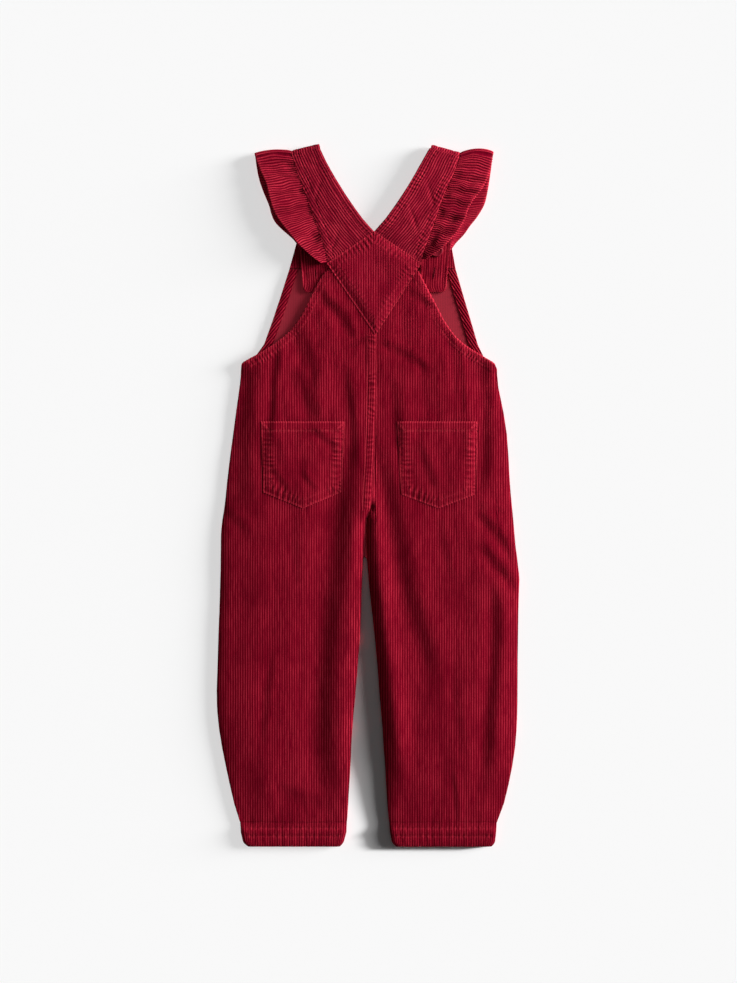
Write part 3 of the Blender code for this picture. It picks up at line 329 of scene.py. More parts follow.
def grooves(across, height=RIDGE):
    """How far the cloth lies under its ridges, as a negative height."""
    return height * (wale_shape(across / WALE) - 1.0)


def wale_turns(first, end):
    """Turns of the phase, from the first wale to the last before the end, at which points lie."""
    return np.array([wale + step for wale in range(first, end) for step in WALE_STEPS])


def close_to(distance, width):
    """1 on a line, and nearly 0 from two widths away."""
    return np.exp(-(distance / width) ** 2)


def rounded(distance, width):
    """Rise from 0 on an edge to 1 a width inside it, along a quarter of a circle."""
    return np.sqrt(1 - (1 - np.clip(distance / width, 0.0, 1.0)) ** 2)


def bounded(wear_light_and_shade):
    return np.clip(wear_light_and_shade, -1.0, 1.0)


def full_turn(count):
    return [2 * math.pi * k / count for k in range(count)]


def near_path(path, x, y):
    """Distance of points from a line of straight runs, and how far along it they are."""
    path = np.asarray(path, float)
    best = np.full(np.shape(x), 1e9)
    along = np.zeros(np.shape(x))
    done = 0.0
    for (ax, ay), (bx, by) in zip(path[:-1], path[1:]):
        length = math.hypot(bx - ax, by - ay)
        if length < 1e-6:
            continue
        ux, uy = (bx - ax) / length, (by - ay) / length
        s = np.clip((x - ax) * ux + (y - ay) * uy, 0.0, length)
        distance = np.hypot(x - ax - s * ux, y - ay - s * uy)
        closer = distance < best
        best = np.where(closer, distance, best)
        along = np.where(closer, done + s, along)
        done += length
    return best, along


def outline(node, smooth=0):
    """Lowest and highest x of a CAD node at each millimetre of height, in millimetres."""
    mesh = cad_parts[node].data
    points = np.array([v.co[:] for v in mesh.vertices]) / MM
    ends = np.array([e.vertices[:] for e in mesh.edges])
    a, b = points[ends[:, 0]], points[ends[:, 1]]
    first = math.ceil(points[:, 1].min() / OUTLINE_STEP) * OUTLINE_STEP
    heights = np.arange(first, points[:, 1].max(), OUTLINE_STEP)
    low, high = [], []
    for h in heights:
        cross = (np.minimum(a[:, 1], b[:, 1]) <= h) & (np.maximum(a[:, 1], b[:, 1]) >= h)
        pa, pb = a[cross], b[cross]
        rise = pb[:, 1] - pa[:, 1]
        share = np.where(np.abs(rise) > 1e-9, (h - pa[:, 1]) / np.where(rise == 0, 1, rise), 0.5)
        xs = pa[:, 0] + (pb[:, 0] - pa[:, 0]) * share
        low.append(xs.min())
        high.append(xs.max())
    low, high = np.array(low), np.array(high)
    if smooth:
        weights = np.hanning(smooth + 2)[1:-1]
        weights /= weights.sum()
        low, high = (np.convolve(np.pad(e, smooth // 2, mode="reflect", reflect_type="odd"),
                                 weights, "valid")[:len(heights)] for e in (low, high))
    return heights + LENGTH / 2, low, high


# ---------------------------------------------------------------- meshes

def add_mesh(name, points, faces, cloth, material, node=None):
    """A piece of the garment. points in x, height and lift; cloth is each point's place in it."""
    points = np.asarray(points, float) - (0.0, LENGTH / 2, 0.0)
    mesh = bpy.data.meshes.new(name)
    mesh.from_pydata((points * MM).tolist(), [], faces)
    mesh.update()
    mesh.shade_smooth()
    mesh.set_sharp_from_angle(angle=math.radians(70))
    layer = mesh.attributes.new("cloth", "FLOAT_VECTOR", "POINT")
    layer.data.foreach_set("vector", np.asarray(cloth, np.float32).ravel())
    mesh.materials.append(material)
    made = bpy.data.objects.new(name, mesh)
    bpy.context.scene.collection.objects.link(made)
    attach(made, "root")
    if node:
        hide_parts(node)
    return made


def grid_faces(rows, columns):
    index = np.arange(rows * columns).reshape(rows, columns)
    quads = np.stack([index[:-1, :-1], index[:-1, 1:], index[1:, 1:], index[1:, :-1]], -1)
    return quads.reshape(-1, 4).tolist()


def ring_faces(rings, around, start=0):
    """Faces between closed rings of points that follow one another."""
    faces = []
    for ring in range(start, start + (rings - 1) * around, around):
        for a in range(around):
            b = (a + 1) % around
            faces.append((ring + a, ring + b, ring + around + b, ring + around + a))
    return faces


def border(rows, columns):
    """Indices round the edge of a grid, anticlockwise from its first corner."""
    index = np.arange(rows * columns).reshape(rows, columns)
    return np.concatenate([index[0, :], index[1:, -1], index[-1, -2::-1], index[-2:0:-1, 0]])


def far_side(rows, columns, rim, first):
    """A grid's far side, with fewer lines of points than the near side but all round the edge.

    rim holds the indices of the edge points and first that of the first point inside it. Returns
    the faces, and the rows and columns of the inside points that they need.
    """
    keep_rows = [*range(0, rows - 1, FAR_STEPS[0]), rows - 1]
    keep_columns = [*range(0, columns - 1, FAR_STEPS[1]), columns - 1]
    at = np.full(rows * columns, -1)
    at[border(rows, columns)] = rim
    at = at.reshape(rows, columns)
    inside = [(r, c) for r in keep_rows[1:-1] for c in keep_columns[1:-1]]
    for k, (r, c) in enumerate(inside):
        at[r, c] = first + k
    faces = []
    for r0, r1 in zip(keep_rows[:-1], keep_rows[1:]):
        for c0, c1 in zip(keep_columns[:-1], keep_columns[1:]):
            low = range(c0, c1) if r0 == 0 else (c0,)
            right = range(r0, r1) if c1 == columns - 1 else (r0,)
            high = range(c1, c0, -1) if r1 == rows - 1 else (c1,)
            left = range(r1, r0, -1) if c0 == 0 else (r1,)
            loop = [*(at[r0, c] for c in low), *(at[r, c1] for r in right),
                    *(at[r1, c] for c in high), *(at[r, c0] for r in left)]
            faces.append([int(k) for k in reversed(loop)])
    inside = np.array(inside).reshape(-1, 2)
    return faces, inside[:, 0], inside[:, 1]


def shell(name, face, core, facing, cloth, wall, materials, slot, node):
    """A closed piece of cloth: a fine near face, a rounded edge and a plainer far side.

    face is the near face with its wales, and core the same face without them; the far side lies
    a wall behind the core, away from where the face is facing.
    """
    rows, columns = face.shape[:2]
    wall = np.broadcast_to(wall, (rows, columns))[..., None]
    rim = border(rows, columns)
    edge, edge_facing = core.reshape(-1, 3)[rim], facing.reshape(-1, 3)[rim]
    aside = np.cross(np.roll(edge, -1, 0) - np.roll(edge, 1, 0), edge_facing)
    aside /= np.maximum(np.linalg.norm(aside, axis=1), 1e-6)[:, None]
    points = [face.reshape(-1, 3)]
    places = [cloth.reshape(-1, 3)]
    faces = grid_faces(rows, columns)
    loops = [rim]
    rim_wall = wall.reshape(-1, 1)[rim]
    for depth, spread in EDGE_LOOPS:
        loops.append(sum(len(p) for p in points) + np.arange(len(rim)))
        points.append(edge - edge_facing * depth * rim_wall + aside * spread)
        places.append(places[0][rim])
    for above, below in zip(loops[:-1], loops[1:]):
        faces += np.stack([above, below, np.roll(below, -1), np.roll(above, -1)], -1).tolist()
    near_faces = len(faces)
    first = sum(len(p) for p in points)
    far, far_rows, far_columns = far_side(rows, columns, loops[-1], first)
    faces += far
    points.append((core - facing * wall)[far_rows, far_columns])
    places.append(cloth[far_rows, far_columns])
    made = add_mesh(name, np.concatenate(points), faces, np.concatenate(places), materials[0],
                    node)
    if len(materials) > 1:
        made.data.materials.append(materials[1])
        index = np.zeros(len(faces), np.int32)
        index[near_faces:] = 1
        made.data.polygons.foreach_set("material_index", index)
    return made


def flat_shell(name, spots, place, wall, look, slot, node, ridge=RIDGE, flip=False):
    """A closed piece that lies face up, with wales.

    spots are x, height and lift. place is across the wales, along them, and the wear with painted
    highlight and painted shade.
    """
    core, cloth = (np.stack(np.broadcast_arrays(*parts), -1) for parts in (spots, place))
    if flip:
        core, cloth = core[:, ::-1], cloth[:, ::-1]
    face = core + (0.0, 0.0, 1.0) * grooves(cloth[..., 0], ridge)[..., None]
    facing = np.broadcast_to((0.0, 0.0, 1.0), core.shape)
    return shell(name, face, core, facing, cloth, wall, [look], slot, node)


def wale_columns(low_x, high_x, shift=0.0):
    """The x of each line of points over a width, with the same places on every wale."""
    first = math.floor((low_x - shift) / WALE)
    last = math.ceil((high_x - shift) / WALE)
    xs = wale_turns(first, last + 1) * WALE + shift
    xs = xs[(xs > low_x + 0.15) & (xs < high_x - 0.15)]
    return np.concatenate([[low_x + 0.01], xs, [high_x - 0.01]])


def fill_outline(heights, low, high, bottom_steps, top_steps, middle, shift=0.0, bead=0.0):
    """A grid of points over an outline. Columns follow the wales from end to end.

    Where a wale ends at the edge it stands out by the bead.
    """
    dense = np.arange(heights[0], heights[-1], 0.1)
    left, right = np.interp(dense, heights, low), np.interp(dense, heights, high)
    xs = wale_columns(left.min(), right.max(), shift)
    bottom_steps, top_steps = np.array(bottom_steps), np.array(top_steps)
    columns = []
    for x in xs:
        inside = np.flatnonzero((left <= x) & (x <= right))
        ledge = bead * wale_shape((x - shift) / WALE)
        start, end = dense[inside[0]] - ledge, dense[inside[-1]] + ledge
        scale = min(1.0, (end - start) / (bottom_steps[-1] + top_steps[-1] + 2.0))
        lower, upper = start + bottom_steps * scale, end - top_steps[::-1] * scale
        between = np.linspace(lower[-1], upper[0], middle + 2)[1:-1]
        columns.append(np.concatenate([lower, between, upper]))
    h = np.array(columns).T
    return np.broadcast_to(xs, h.shape).copy(), h


# ---------------------------------------------------------------- seams and stitches

class Seams:
    """Rows of stitches, which dent the cloth and pucker it, and the thread in them."""

    def __init__(self):
        self.rows = []

    def add(self, path, pucker=7.0, reach=4.0, depth=0.45, ripple=0.28, seed=1, shine=0.25):
        """A row along a path.

        pucker is the length of its ripples, reach how far they spread and ripple their height.
        depth is that of the dent under the stitches, and shine how much painted highlight the cloth
        gets there.
        """
        self.rows.append((np.asarray(path, float), pucker, reach, depth, ripple, seed, shine))

    def lift(self, x, h):
        """Change of the cloth's height, and its wear with painted highlight and painted shade, from
        all the rows.
        """
        lift, wear_light_and_shade = np.zeros(np.shape(x)), np.zeros(np.shape(x))
        for path, pucker, reach, depth, ripple, seed, shine in self.rows:
            distance, along = near_path(path, x, h)
            uneven = 2.4 * unevenness(along, 0 * along, 11.0, seed)
            wave = np.sin(2 * math.pi * along / pucker + uneven)
            wave = wave * (0.65 + 0.6 * unevenness(along, 0 * along, 13.0, seed + 5))
            lift += ripple * wave * close_to(distance, reach) - depth * close_to(distance, 0.75)
            # Pucker crests are painted lighter and troughs darker, as painted highlight and painted
            # shade, and the row itself gets painted highlight
            wear_light_and_shade += (0.05 + 0.55 * wave) * close_to(distance, 0.75 * reach)
            wear_light_and_shade += shine * close_to(distance, 0.8)
        return lift, bounded(wear_light_and_shade)

    def thread(self, name, height_at, material, slot, shrink=0.0):
        """Every stitch of the rows as a small tapered bar on the cloth."""
        points, faces = [], []
        places, radii, dips = np.array(STITCH_FORM).T
        for path, *_ in self.rows:
            runs = np.linalg.norm(np.diff(path, axis=0), axis=1)
            marks = np.concatenate([[0.0], np.cumsum(runs)])
            for k in range(int(runs.sum() / STITCH)):
                xs, hs = (np.interp((places + k) * STITCH, marks, line) for line in path.T)
                way = np.array((xs[-1] - xs[0], hs[-1] - hs[0]))
                way /= max(np.linalg.norm(way), 1e-6)
                faces += ring_faces(len(places), STITCH_SIDES, len(points))
                lifts = height_at(xs, hs) - shrink - dips
                for x, h, lift, radius in zip(xs, hs, lifts, radii * STITCH_RADIUS):
                    for turn in full_turn(STITCH_SIDES):
                        aside, up = radius * math.cos(turn), radius * math.sin(turn) + 0.12
                        points.append((x - way[1] * aside, h + way[0] * aside, lift + up))
        add_mesh(name, points, faces, np.zeros((len(points), 3)), material)


# ---------------------------------------------------------------- materials

class Look:
    """A material, with short ways to add nodes to it."""

    def __init__(self, name):
        self.made = bpy.data.materials.new(name)
        self.made.use_nodes = True
        self.nodes = self.made.node_tree.nodes
        self.shader = self.nodes["Principled BSDF"]

    def feed(self, socket, value):
        """Give a socket another node's output, a number or a colour."""
        if hasattr(value, "is_output"):
            self.made.node_tree.links.new(value, socket)
        else:
            socket.default_value = (*value, 1.0) if isinstance(value, tuple) else value

    def math(self, kind, *values, clamp=False):
        made = self.nodes.new("ShaderNodeMath")
        made.operation = kind
        made.use_clamp = clamp
        for socket, value in zip(made.inputs, values):
            self.feed(socket, value)
        return made.outputs[0]

    def scaled(self, value, factor, offset):
        """The value times a factor, plus an offset."""
        return self.math("MULTIPLY_ADD", value, factor, offset)

    def multiplied(self, value, fields, clamp=False):
        """The value times fields, each given with its factor and offset."""
        for field, factor, offset in fields:
            value = self.math("MULTIPLY", value, self.scaled(field, factor, offset), clamp=clamp)
        return value

    def noise(self, vector, scale, detail, rough=0.55):
        made = self.nodes.new("ShaderNodeTexNoise")
        values = (("Vector", vector), ("Scale", scale), ("Detail", detail), ("Roughness", rough))
        for name, value in values:
            self.feed(made.inputs[name], value)
        return made.outputs["Fac"]

    def speckle(self, scale, detail):
        """Noise over the object's own space."""
        place = self.nodes.new("ShaderNodeTexCoord")
        return self.noise(place.outputs["Object"], scale, detail)

    def blend(self, share, first, second, kind="MIX"):
        """Two colours mixed. Sockets 0, 6 and 7 are the share and the two colours."""
        made = self.nodes.new("ShaderNodeMix")
        made.data_type = "RGBA"
        made.blend_type = kind
        for number, value in ((0, share), (6, first), (7, second)):
            self.feed(made.inputs[number], value)
        return made.outputs[2]

    def shaded(self, colour, shade):
        """The colour times a shade of grey."""
        grey = self.nodes.new("ShaderNodeCombineColor")
        for socket in grey.inputs:
            self.feed(socket, shade)
        return self.blend(1.0, colour, grey.outputs[0], "MULTIPLY")

    def cloth(self):
        """A point's place in the cloth: across the wales and along them, and its wear with painted
        highlight and painted shade.
        """
        place = self.nodes.new("ShaderNodeAttribute")
        place.attribute_name = "cloth"
        split = self.nodes.new("ShaderNodeSeparateXYZ")
        self.feed(split.inputs[0], place.outputs["Vector"])
        return split.outputs

    def cloth_noise(self, cloth, across, along, detail, rough=0.55):
        """Noise over the cloth, stretched across and along the wales."""
        join = self.nodes.new("ShaderNodeCombineXYZ")
        for number, stretch in enumerate((across, along)):
            self.feed(join.inputs[number], self.math("MULTIPLY", cloth[number], stretch))
        return self.noise(join.outputs[0], 1.0, detail, rough)

    def cosine(self, cloth):
        """1 in the grooves of the cloth and -1 on its ridges."""
        return self.math("COSINE", self.math("MULTIPLY", cloth[0], 2 * math.pi / WALE))

    def relief(self, height, strength, distance):
        """Fine relief that only the shading shows."""
        bump = self.nodes.new("ShaderNodeBump")
        for name, value in (("Strength", strength), ("Distance", distance), ("Height", height)):
            self.feed(bump.inputs[name], value)
        self.feed(self.shader.inputs["Normal"], bump.outputs[0])

    def finish(self, colour, settings):
        """The colour and the other settings of the shader's own sockets."""
        self.feed(self.shader.inputs["Base Color"], colour)
        for name, value in settings.items():
            self.feed(self.shader.inputs[name], value)
        return self.made


def corduroy(name, colours):
    """Cut pile in wales: crests with painted highlight, grain, and wear with painted highlight and
    shade.
    """
    look = Look(name)
    cloth = look.cloth()
    # groove is painted shade and crest painted highlight, added to the relief's own shading
    groove, pile, crest = colours
    wale = look.scaled(look.cosine(cloth), -0.5, 0.5)
    streak = look.cloth_noise(cloth, 0.42, 0.055, 3.0, 0.6)
    band = look.cloth_noise(cloth, 0.3, 0.011, 2.0)
    patch = look.cloth_noise(cloth, 0.035, 0.022, 2.0)
    grain = look.cloth_noise(cloth, 1.15, 0.85, 3.0, 0.7)
    fibre = look.cloth_noise(cloth, 3.2, 1.5, 2.0, 0.7)
    # Below 0 the cloth's third value darkens the pile as painted shade
    hollow = look.math("MINIMUM", cloth[2], 0.0)
    shade = look.multiplied(look.scaled(band, 0.4, 0.8), (
        (patch, 0.5, 0.75), (grain, 1.7, 0.15), (fibre, 0.4, 0.8), (hollow, 0.65, 1.0)))
    toned = look.shaded(look.blend(look.math("POWER", wale, 0.6), groove, pile), shade)
    lit = look.multiplied(look.math("POWER", wale, 3.0), (
        (streak, 3.2, -0.9), (grain, 2.8, -0.35), (patch, 3.0, -0.5)), clamp=True)
    toned = look.blend(lit, toned, crest)
    # Above 0 it blends the pile towards the pale colour, as wear and painted highlight
    wear_and_highlight_share = look.math("MULTIPLY", look.scaled(wale, 0.8, 0.2), cloth[2])
    wear_and_highlight_share = look.multiplied(wear_and_highlight_share, ((grain, 2.4, -0.3),), clamp=True)
    look.relief(fibre, 0.35, 0.0003)
    return look.finish(look.blend(wear_and_highlight_share, toned, WEAR_AND_HIGHLIGHT), {
        "Roughness": 0.92, "Specular IOR Level": 0.015, "Sheen Weight": 0.04,
        "Sheen Roughness": 0.4, "Sheen Tint": (1.0, 0.12, 0.2)})


def smooth_inside(name, colour):
    """Wrong side of the corduroy: a fine close weave with faint lines behind the wales."""
    look = Look(name)
    cloth = look.cloth()
    grain = look.cloth_noise(cloth, 2.6, 2.6, 3.0, 0.75)
    patch = look.cloth_noise(cloth, 0.05, 0.03, 2.0)
    shade = look.multiplied(look.scaled(grain, 0.45, 0.6), (
        (look.cosine(cloth), 0.06, 0.9), (patch, 0.4, 0.85)))
    look.relief(grain, 0.3, 0.0002)
    return look.finish(look.shaded(colour, shade), {
        "Roughness": 0.9, "Specular IOR Level": 0.08, "Sheen Weight": 0.12})


def thread_material():
    look = Look("thread")
    twist = look.blend(look.speckle(900.0, 2.0), tuple(0.6 * c for c in THREAD), THREAD)
    return look.finish(twist, {"Roughness": 0.7, "Specular IOR Level": 0.08})


def button_material():
    look = Look("button")
    dark, light = (tuple(share * c for c in BUTTON_RED) for share in (0.7, 1.5))
    return look.finish(look.blend(look.speckle(320.0, 3.0), dark, light), {
        "Roughness": 0.5, "Specular IOR Level": 0.12})


def matt(name, colour):
    """A plain surface with no shine."""
    return Look(name).finish(colour, {"Roughness": 1.0, "Specular IOR Level": 0.0})


# ---------------------------------------------------------------- back of the garment

def softened(path):
    """A path with its corners cut twice."""
    path = np.asarray(path, float)
    for _ in range(2):
        near, far = path[:-1], path[1:]
        cut = np.stack([0.75 * near + 0.25 * far, 0.25 * near + 0.75 * far], 1).reshape(-1, 2)
        path = np.concatenate([path[:1], cut, path[-1:]])
    return path


def beside_path(path, x, h):
    """Distance to the right of a path that runs down the cloth, and how far along it, 0 to 1."""
    lengths = np.linalg.norm(np.diff(path, axis=0), axis=1)
    starts = np.concatenate([[0.0], np.cumsum(lengths)])
    best, aside, along = np.full(x.shape, 1e9), np.zeros(x.shape), np.zeros(x.shape)
    for k, length in enumerate(lengths):
        (ax, ah), (bx, bh) = path[k], path[k + 1]
        ux, uh = (bx - ax) / length, (bh - ah) / length
        s = np.clip((x - ax) * ux + (h - ah) * uh, 0.0, length)
        distance = np.hypot(x - ax - s * ux, h - ah - s * uh)
        closer = distance < best
        right = np.where(ux * (h - ah) - uh * (x - ax) < 0, -1.0, 1.0)
        best = np.where(closer, distance, best)
        aside = np.where(closer, right * distance, aside)
        along = np.where(closer, (starts[k] + s) / starts[-1], along)
    return aside, along


def fold_height(x, h):
    """Rise of the cloth from folds, which are steeper on their left, and from rims."""
    x, h = np.broadcast_arrays(np.asarray(x, float), np.asarray(h, float))
    shape, x, h = x.shape, x.ravel(), h.ravel()
    total = np.zeros(x.shape)
    for kind, group in (("fold", FOLDS + CREASES), ("rim", RIMS)):
        for rise, width, points in group:
            path = softened(points)
            (low_x, low_h), (high_x, high_h) = path.min(0) - 2.6 * width, path.max(0) + 2.6 * width
            near = np.flatnonzero((x > low_x) & (x < high_x) & (h > low_h) & (h < high_h))
            aside, along = beside_path(path, x[near], h[near])
            across = aside / width
            fade = ease(along, 0.0, 0.22) * (1.0 - ease(along, 0.78, 1.0))
            form = FOLD_FORM * across if kind == "fold" else 1.0
            total[near] += rise * form * np.exp(-across ** 2) * fade
    return total.reshape(shape)


class Back:
    """One back panel: its outline from the CAD node, its lift and its armhole."""

    def __init__(self, side):
        self.side = side
        self.heights, self.low, self.high = outline(f"back_{side}", 9)
        self.outer = side_pick(side, self.low, self.high)
        self.inner = side_pick(side, self.high, self.low)

    def edge(self, edge, h):
        return np.interp(h, self.heights, edge)

    def lift(self, x, h):
        """Underside of the panel over the surface."""
        outer, inner = self.edge(self.outer, h), self.edge(self.inner, h)
        width = np.abs(inner - outer)
        share = np.clip(np.abs(x - outer) / np.maximum(width, 1.0), 0.0, 1.0)
        slump = 1.0 - ease(np.abs(x - outer), 0.0, SLUMP_WIDTH)
        middle = column(BACK_LIFT, h) + fold_height(x, h)
        middle = middle + 0.5 * np.sin(math.pi * share) * np.minimum(width / 120.0, 1.0)
        middle = middle - SLUMP * slump * (1.0 - ease(h, 460.0, UNDERARM))
        side_seam = 1.0 - ease(h, 472.0, 484.0)
        inseam = 1.0 - ease(h, CROTCH_BACK - 4.0, CROTCH_BACK + 12.0)
        round_side = 1.0 - side_seam * (1.0 - rounded(np.abs(x - outer), ROLL_WIDTH))
        round_inner = 1.0 - inseam * (1.0 - rounded(np.abs(x - inner), ROLL_WIDTH))
        return EDGE_LIFT + (middle - EDGE_LIFT) * round_side * round_inner

    def armhole(self):
        h = self.heights
        inside = (h >= UNDERARM - 1.0) & (h <= ARMHOLE_TOP)
        return np.column_stack([self.outer[inside], h[inside]])[::4]


def cuff_gather(side, share):
    """Waves of the ankle's gathers across a leg, from -1 to 1."""
    drift = 0.9 * np.sin(5.0 * share * math.pi + side_pick(side, 1.3, 0.4))
    return np.cos(2 * math.pi * CUFF_GATHERS * share + drift)


def offset_path(path, distance):
    """A path moved sideways, to its left."""
    path = np.asarray(path, float)
    way = np.gradient(path, axis=0)
    way /= np.linalg.norm(way, axis=1)[:, None]
    return path + distance * np.column_stack([-way[:, 1], way[:, 0]])


def pocket_corners(side):
    """Outline of a pocket: its tip, then anticlockwise."""
    heights, low, high = outline(f"pocket_{side}")
    shoulder = POCKET_SHOULDERS[side]
    at = int(np.searchsorted(heights, shoulder))
    top = heights[-1] + 0.4
    return np.array([(0.5 * (low[0] + high[0]), heights[0]), (high[at], shoulder),
                     (high[-1], top), (low[-1], top), (low[at], shoulder)])


def yoke_corners():
    """Outline of the yoke patch: its lowest corner, then anticlockwise."""
    heights, low, high = outline("yoke_patch")
    tip = (0.5 * (low[0] + high[0]), heights[0] - 0.2)
    return np.array([tip, YOKE_SIDES["right"], YOKE_TOP, YOKE_SIDES["left"]])


def back_surface(panel, arm, seams):
    """A function of x and h that gives a back's upper face and how worn it is."""
    side = panel.side
    pocket = pocket_corners(side)
    covered = (np.array([*pocket, pocket[0]]), yoke_corners()[[3, 0, 1]])

    def surface(x, h):
        lift = panel.lift(x, h) + CLOTH
        arm_distance = near_path(arm, x, h)[0]
        lift = lift + HEM_RISE * (1.0 - ease(arm_distance, HEM_WIDTH - 0.8, HEM_WIDTH + 0.8))
        lift = lift - 0.5 * close_to(arm_distance, 0.9)
        low, high = panel.edge(panel.low, h), panel.edge(panel.high, h)
        share = np.clip((x - low) / (high - low), 0.0, 1.0)
        fade = np.exp(-(h - CUFF_TOP) / 16.0)
        lift = lift + LEG_WAVE * cuff_gather(side, share) * fade * np.sin(math.pi * share) ** 0.5
        upper = ease(h, 330.0, 430.0)
        lift = lift + (0.03 + 0.09 * upper) * unevenness(x, 0.4 * h, 7.0, 31)
        lift = lift + (0.2 + 0.25 * upper) * unevenness(x, 0.6 * h, 19.0, 32)
        stitched, wear_light_and_shade = seams.lift(x, h)
        # The armhole's turned edge is painted lighter, as wear and painted highlight
        wear_light_and_shade = wear_light_and_shade + 1.2 * close_to(arm_distance, 1.1)
        # Painted shade round the pocket and along the yoke's lower edges, where they stand over the
        # panel
        for path in covered:
            wear_light_and_shade = wear_light_and_shade - 0.7 * close_to(near_path(path, x, h)[0], 1.2)
        # Painted shade along the left leg's rolled inner edge, which faces the key light
        rim = close_to(panel.edge(panel.inner, h) - x, 14.0) * (1.0 - ease(h, 200.0, 350.0))
        return lift + stitched, bounded(wear_light_and_shade - side_pick(side, 0.5, 0.0) * rim)

    return surface


def build_back(side, looks):
    panel = Back(side)
    arm = panel.armhole()
    seams = Seams()
    inward = side_pick(side, -1, 1)
    seams.add(offset_path(arm, inward * (HEM_WIDTH - 1.4))[2:-3], 3.7, 3.6, 0.3, 0.2, 11, 0.5)
    seams.add(offset_path(arm, inward * 2.2)[2:-3], 3.7, 2.0, 0.2, 0.12, 12, 0.3)
    surface = back_surface(panel, arm, seams)
    low = panel.low
    if side == "right":     # it reaches a little under the felled seam
        under = ease(panel.heights, CROTCH_BACK + 4.0, CROTCH_BACK + 10.0)
        low = low - 0.9 * under * (1.0 - ease(panel.heights, 506.0, 510.0))
    x, h = fill_outline(panel.heights, low, panel.high, (0.0, 1.0, 2.5, 5.0, 8.0), BACK_STEPS,
                        112, bead=BEAD)
    lift, wear_light_and_shade = surface(x, h)
    sway = (0.25 + 0.3 * ease(h, 330.0, 430.0)) * unevenness(x, 0.45 * h, 12.0, 41)
    sway = sway + 0.25 * unevenness(x, h, 5.0, 42) * wear_light_and_shade
    swayed = x.copy()
    swayed[2:-2, 2:-2] += 0.6 * sway[2:-2, 2:-2]
    made = flat_shell(f"back_{side}_cloth", (swayed, h, lift), (x, h, wear_light_and_shade), CLOTH - 0.1,
                      looks["corduroy"], "corduroy", f"back_{side}")
    seams.thread(f"back_{side}_stitches", lambda a, b: surface(a, b)[0], looks["thread"],
                 "corduroy", 0.15)
    if side == "left":
        build_fell(looks, panel, surface)
    return surface


def build_fell(looks, panel, surface):
    """The felled centre seam: the left panel's folded edge, lying over the right panel."""
    heights = np.arange(CROTCH_BACK + 1.0, FELL_TOP, 0.9)[:, None]
    inner = panel.edge(panel.inner, heights)
    width = FELL_WIDTH + 1.2 * ease(heights, 400.0, 500.0)
    shares = np.linspace(0.0, 1.0, 25)
    swell = 0.25 * unevenness(heights, 0 * heights, 9.0, 23)
    x = inner + 0.5 + swell - (width + 0.5) * (1.0 - shares)
    h = np.broadcast_to(heights, x.shape)
    distance = np.minimum(shares, 1.0 - shares) * width
    wave = np.sin(2 * math.pi * h / 5.2 + 2.6 * unevenness(h, 0.6 * x, 8.0, 21))
    wave = wave * (0.6 + 0.7 * unevenness(h, 0 * x, 12.0, 22)) * ease(distance, 0.6, 2.0)
    row = close_to(distance - EDGE_ROW, 0.6)
    lift = surface(np.minimum(x, inner - 0.1), h)[0] + 0.2
    lift = lift + 0.3 * ease(distance, 0.0, 2.4) + 0.19 * wave - 0.14 * row
    # Its fold and stitch row are painted lighter, as wear and painted highlight, and its puckers
    # lighter on their crests and darker in their troughs, as painted highlight and painted shade
    wear_light_and_shade = bounded(close_to(distance, 0.7) + 0.6 * wave + 0.25 * row)
    made = flat_shell("back_fell_cloth", (x, h, lift), (x - inner, h, wear_light_and_shade), 0.45,
                      looks["corduroy"], "corduroy", "back_left")


def build_front(side, looks):
    """Front panel: smooth wrong side up, its corduroy face down on the surface."""
    heights, low, high = outline(f"front_{side}", 7)
    x, h = fill_outline(heights, low, high, FRONT_STEPS, FRONT_STEPS, 70)
    x, h = x[:, ::-1], h[:, ::-1]
    core = np.stack([x, h, np.zeros(x.shape)], -1)
    face = core - (0.0, 0.0, 1.0) * grooves(x, 0.7 * RIDGE)[..., None]
    facing = np.broadcast_to((0.0, 0.0, -1.0), core.shape)
    made = shell(f"front_{side}_cloth", face, core, facing, core, CLOTH,
                 [looks["corduroy"], looks["inside"]], "corduroy_inside", f"front_{side}")


# Rows of points up an ankle hem, closer together at its two rows of stitches
CUFF_LEVELS = (0.0, 0.5, 1.4, 3.0, 5.0, 7.0, 8.6, 9.6, 10.5, 11.4, 12.8, 14.5, 16.2, 17.6, 18.5,
               19.4, 20.8, 22.4, CUFF_TOP + 0.28)
CUFF_INSET = 2.4            # from a hem's outer edge to the hollow inside it


def flat_tube(outside, inside):
    """Points and faces of a tube that is open at both ends, from its rings of points."""
    rows, around = outside.shape[:2]
    index = np.arange(rows * around).reshape(rows, around)
    hollow = index + rows * around
    following, hollow_following = np.roll(index, -1, 1), np.roll(hollow, -1, 1)
    faces = [np.stack([index[:-1], following[:-1], following[1:], index[1:]], -1),
             np.stack([hollow[1:], hollow_following[1:], hollow_following[:-1], hollow[:-1]], -1)]
    ends = np.stack([hollow, hollow_following, following, index], -1)
    faces += [ends[:1], ends[-1:, :, ::-1]]
    points = np.concatenate([outside.reshape(-1, 3), inside.reshape(-1, 3)])
    return points, np.concatenate([group.reshape(-1, 4) for group in faces]).tolist()


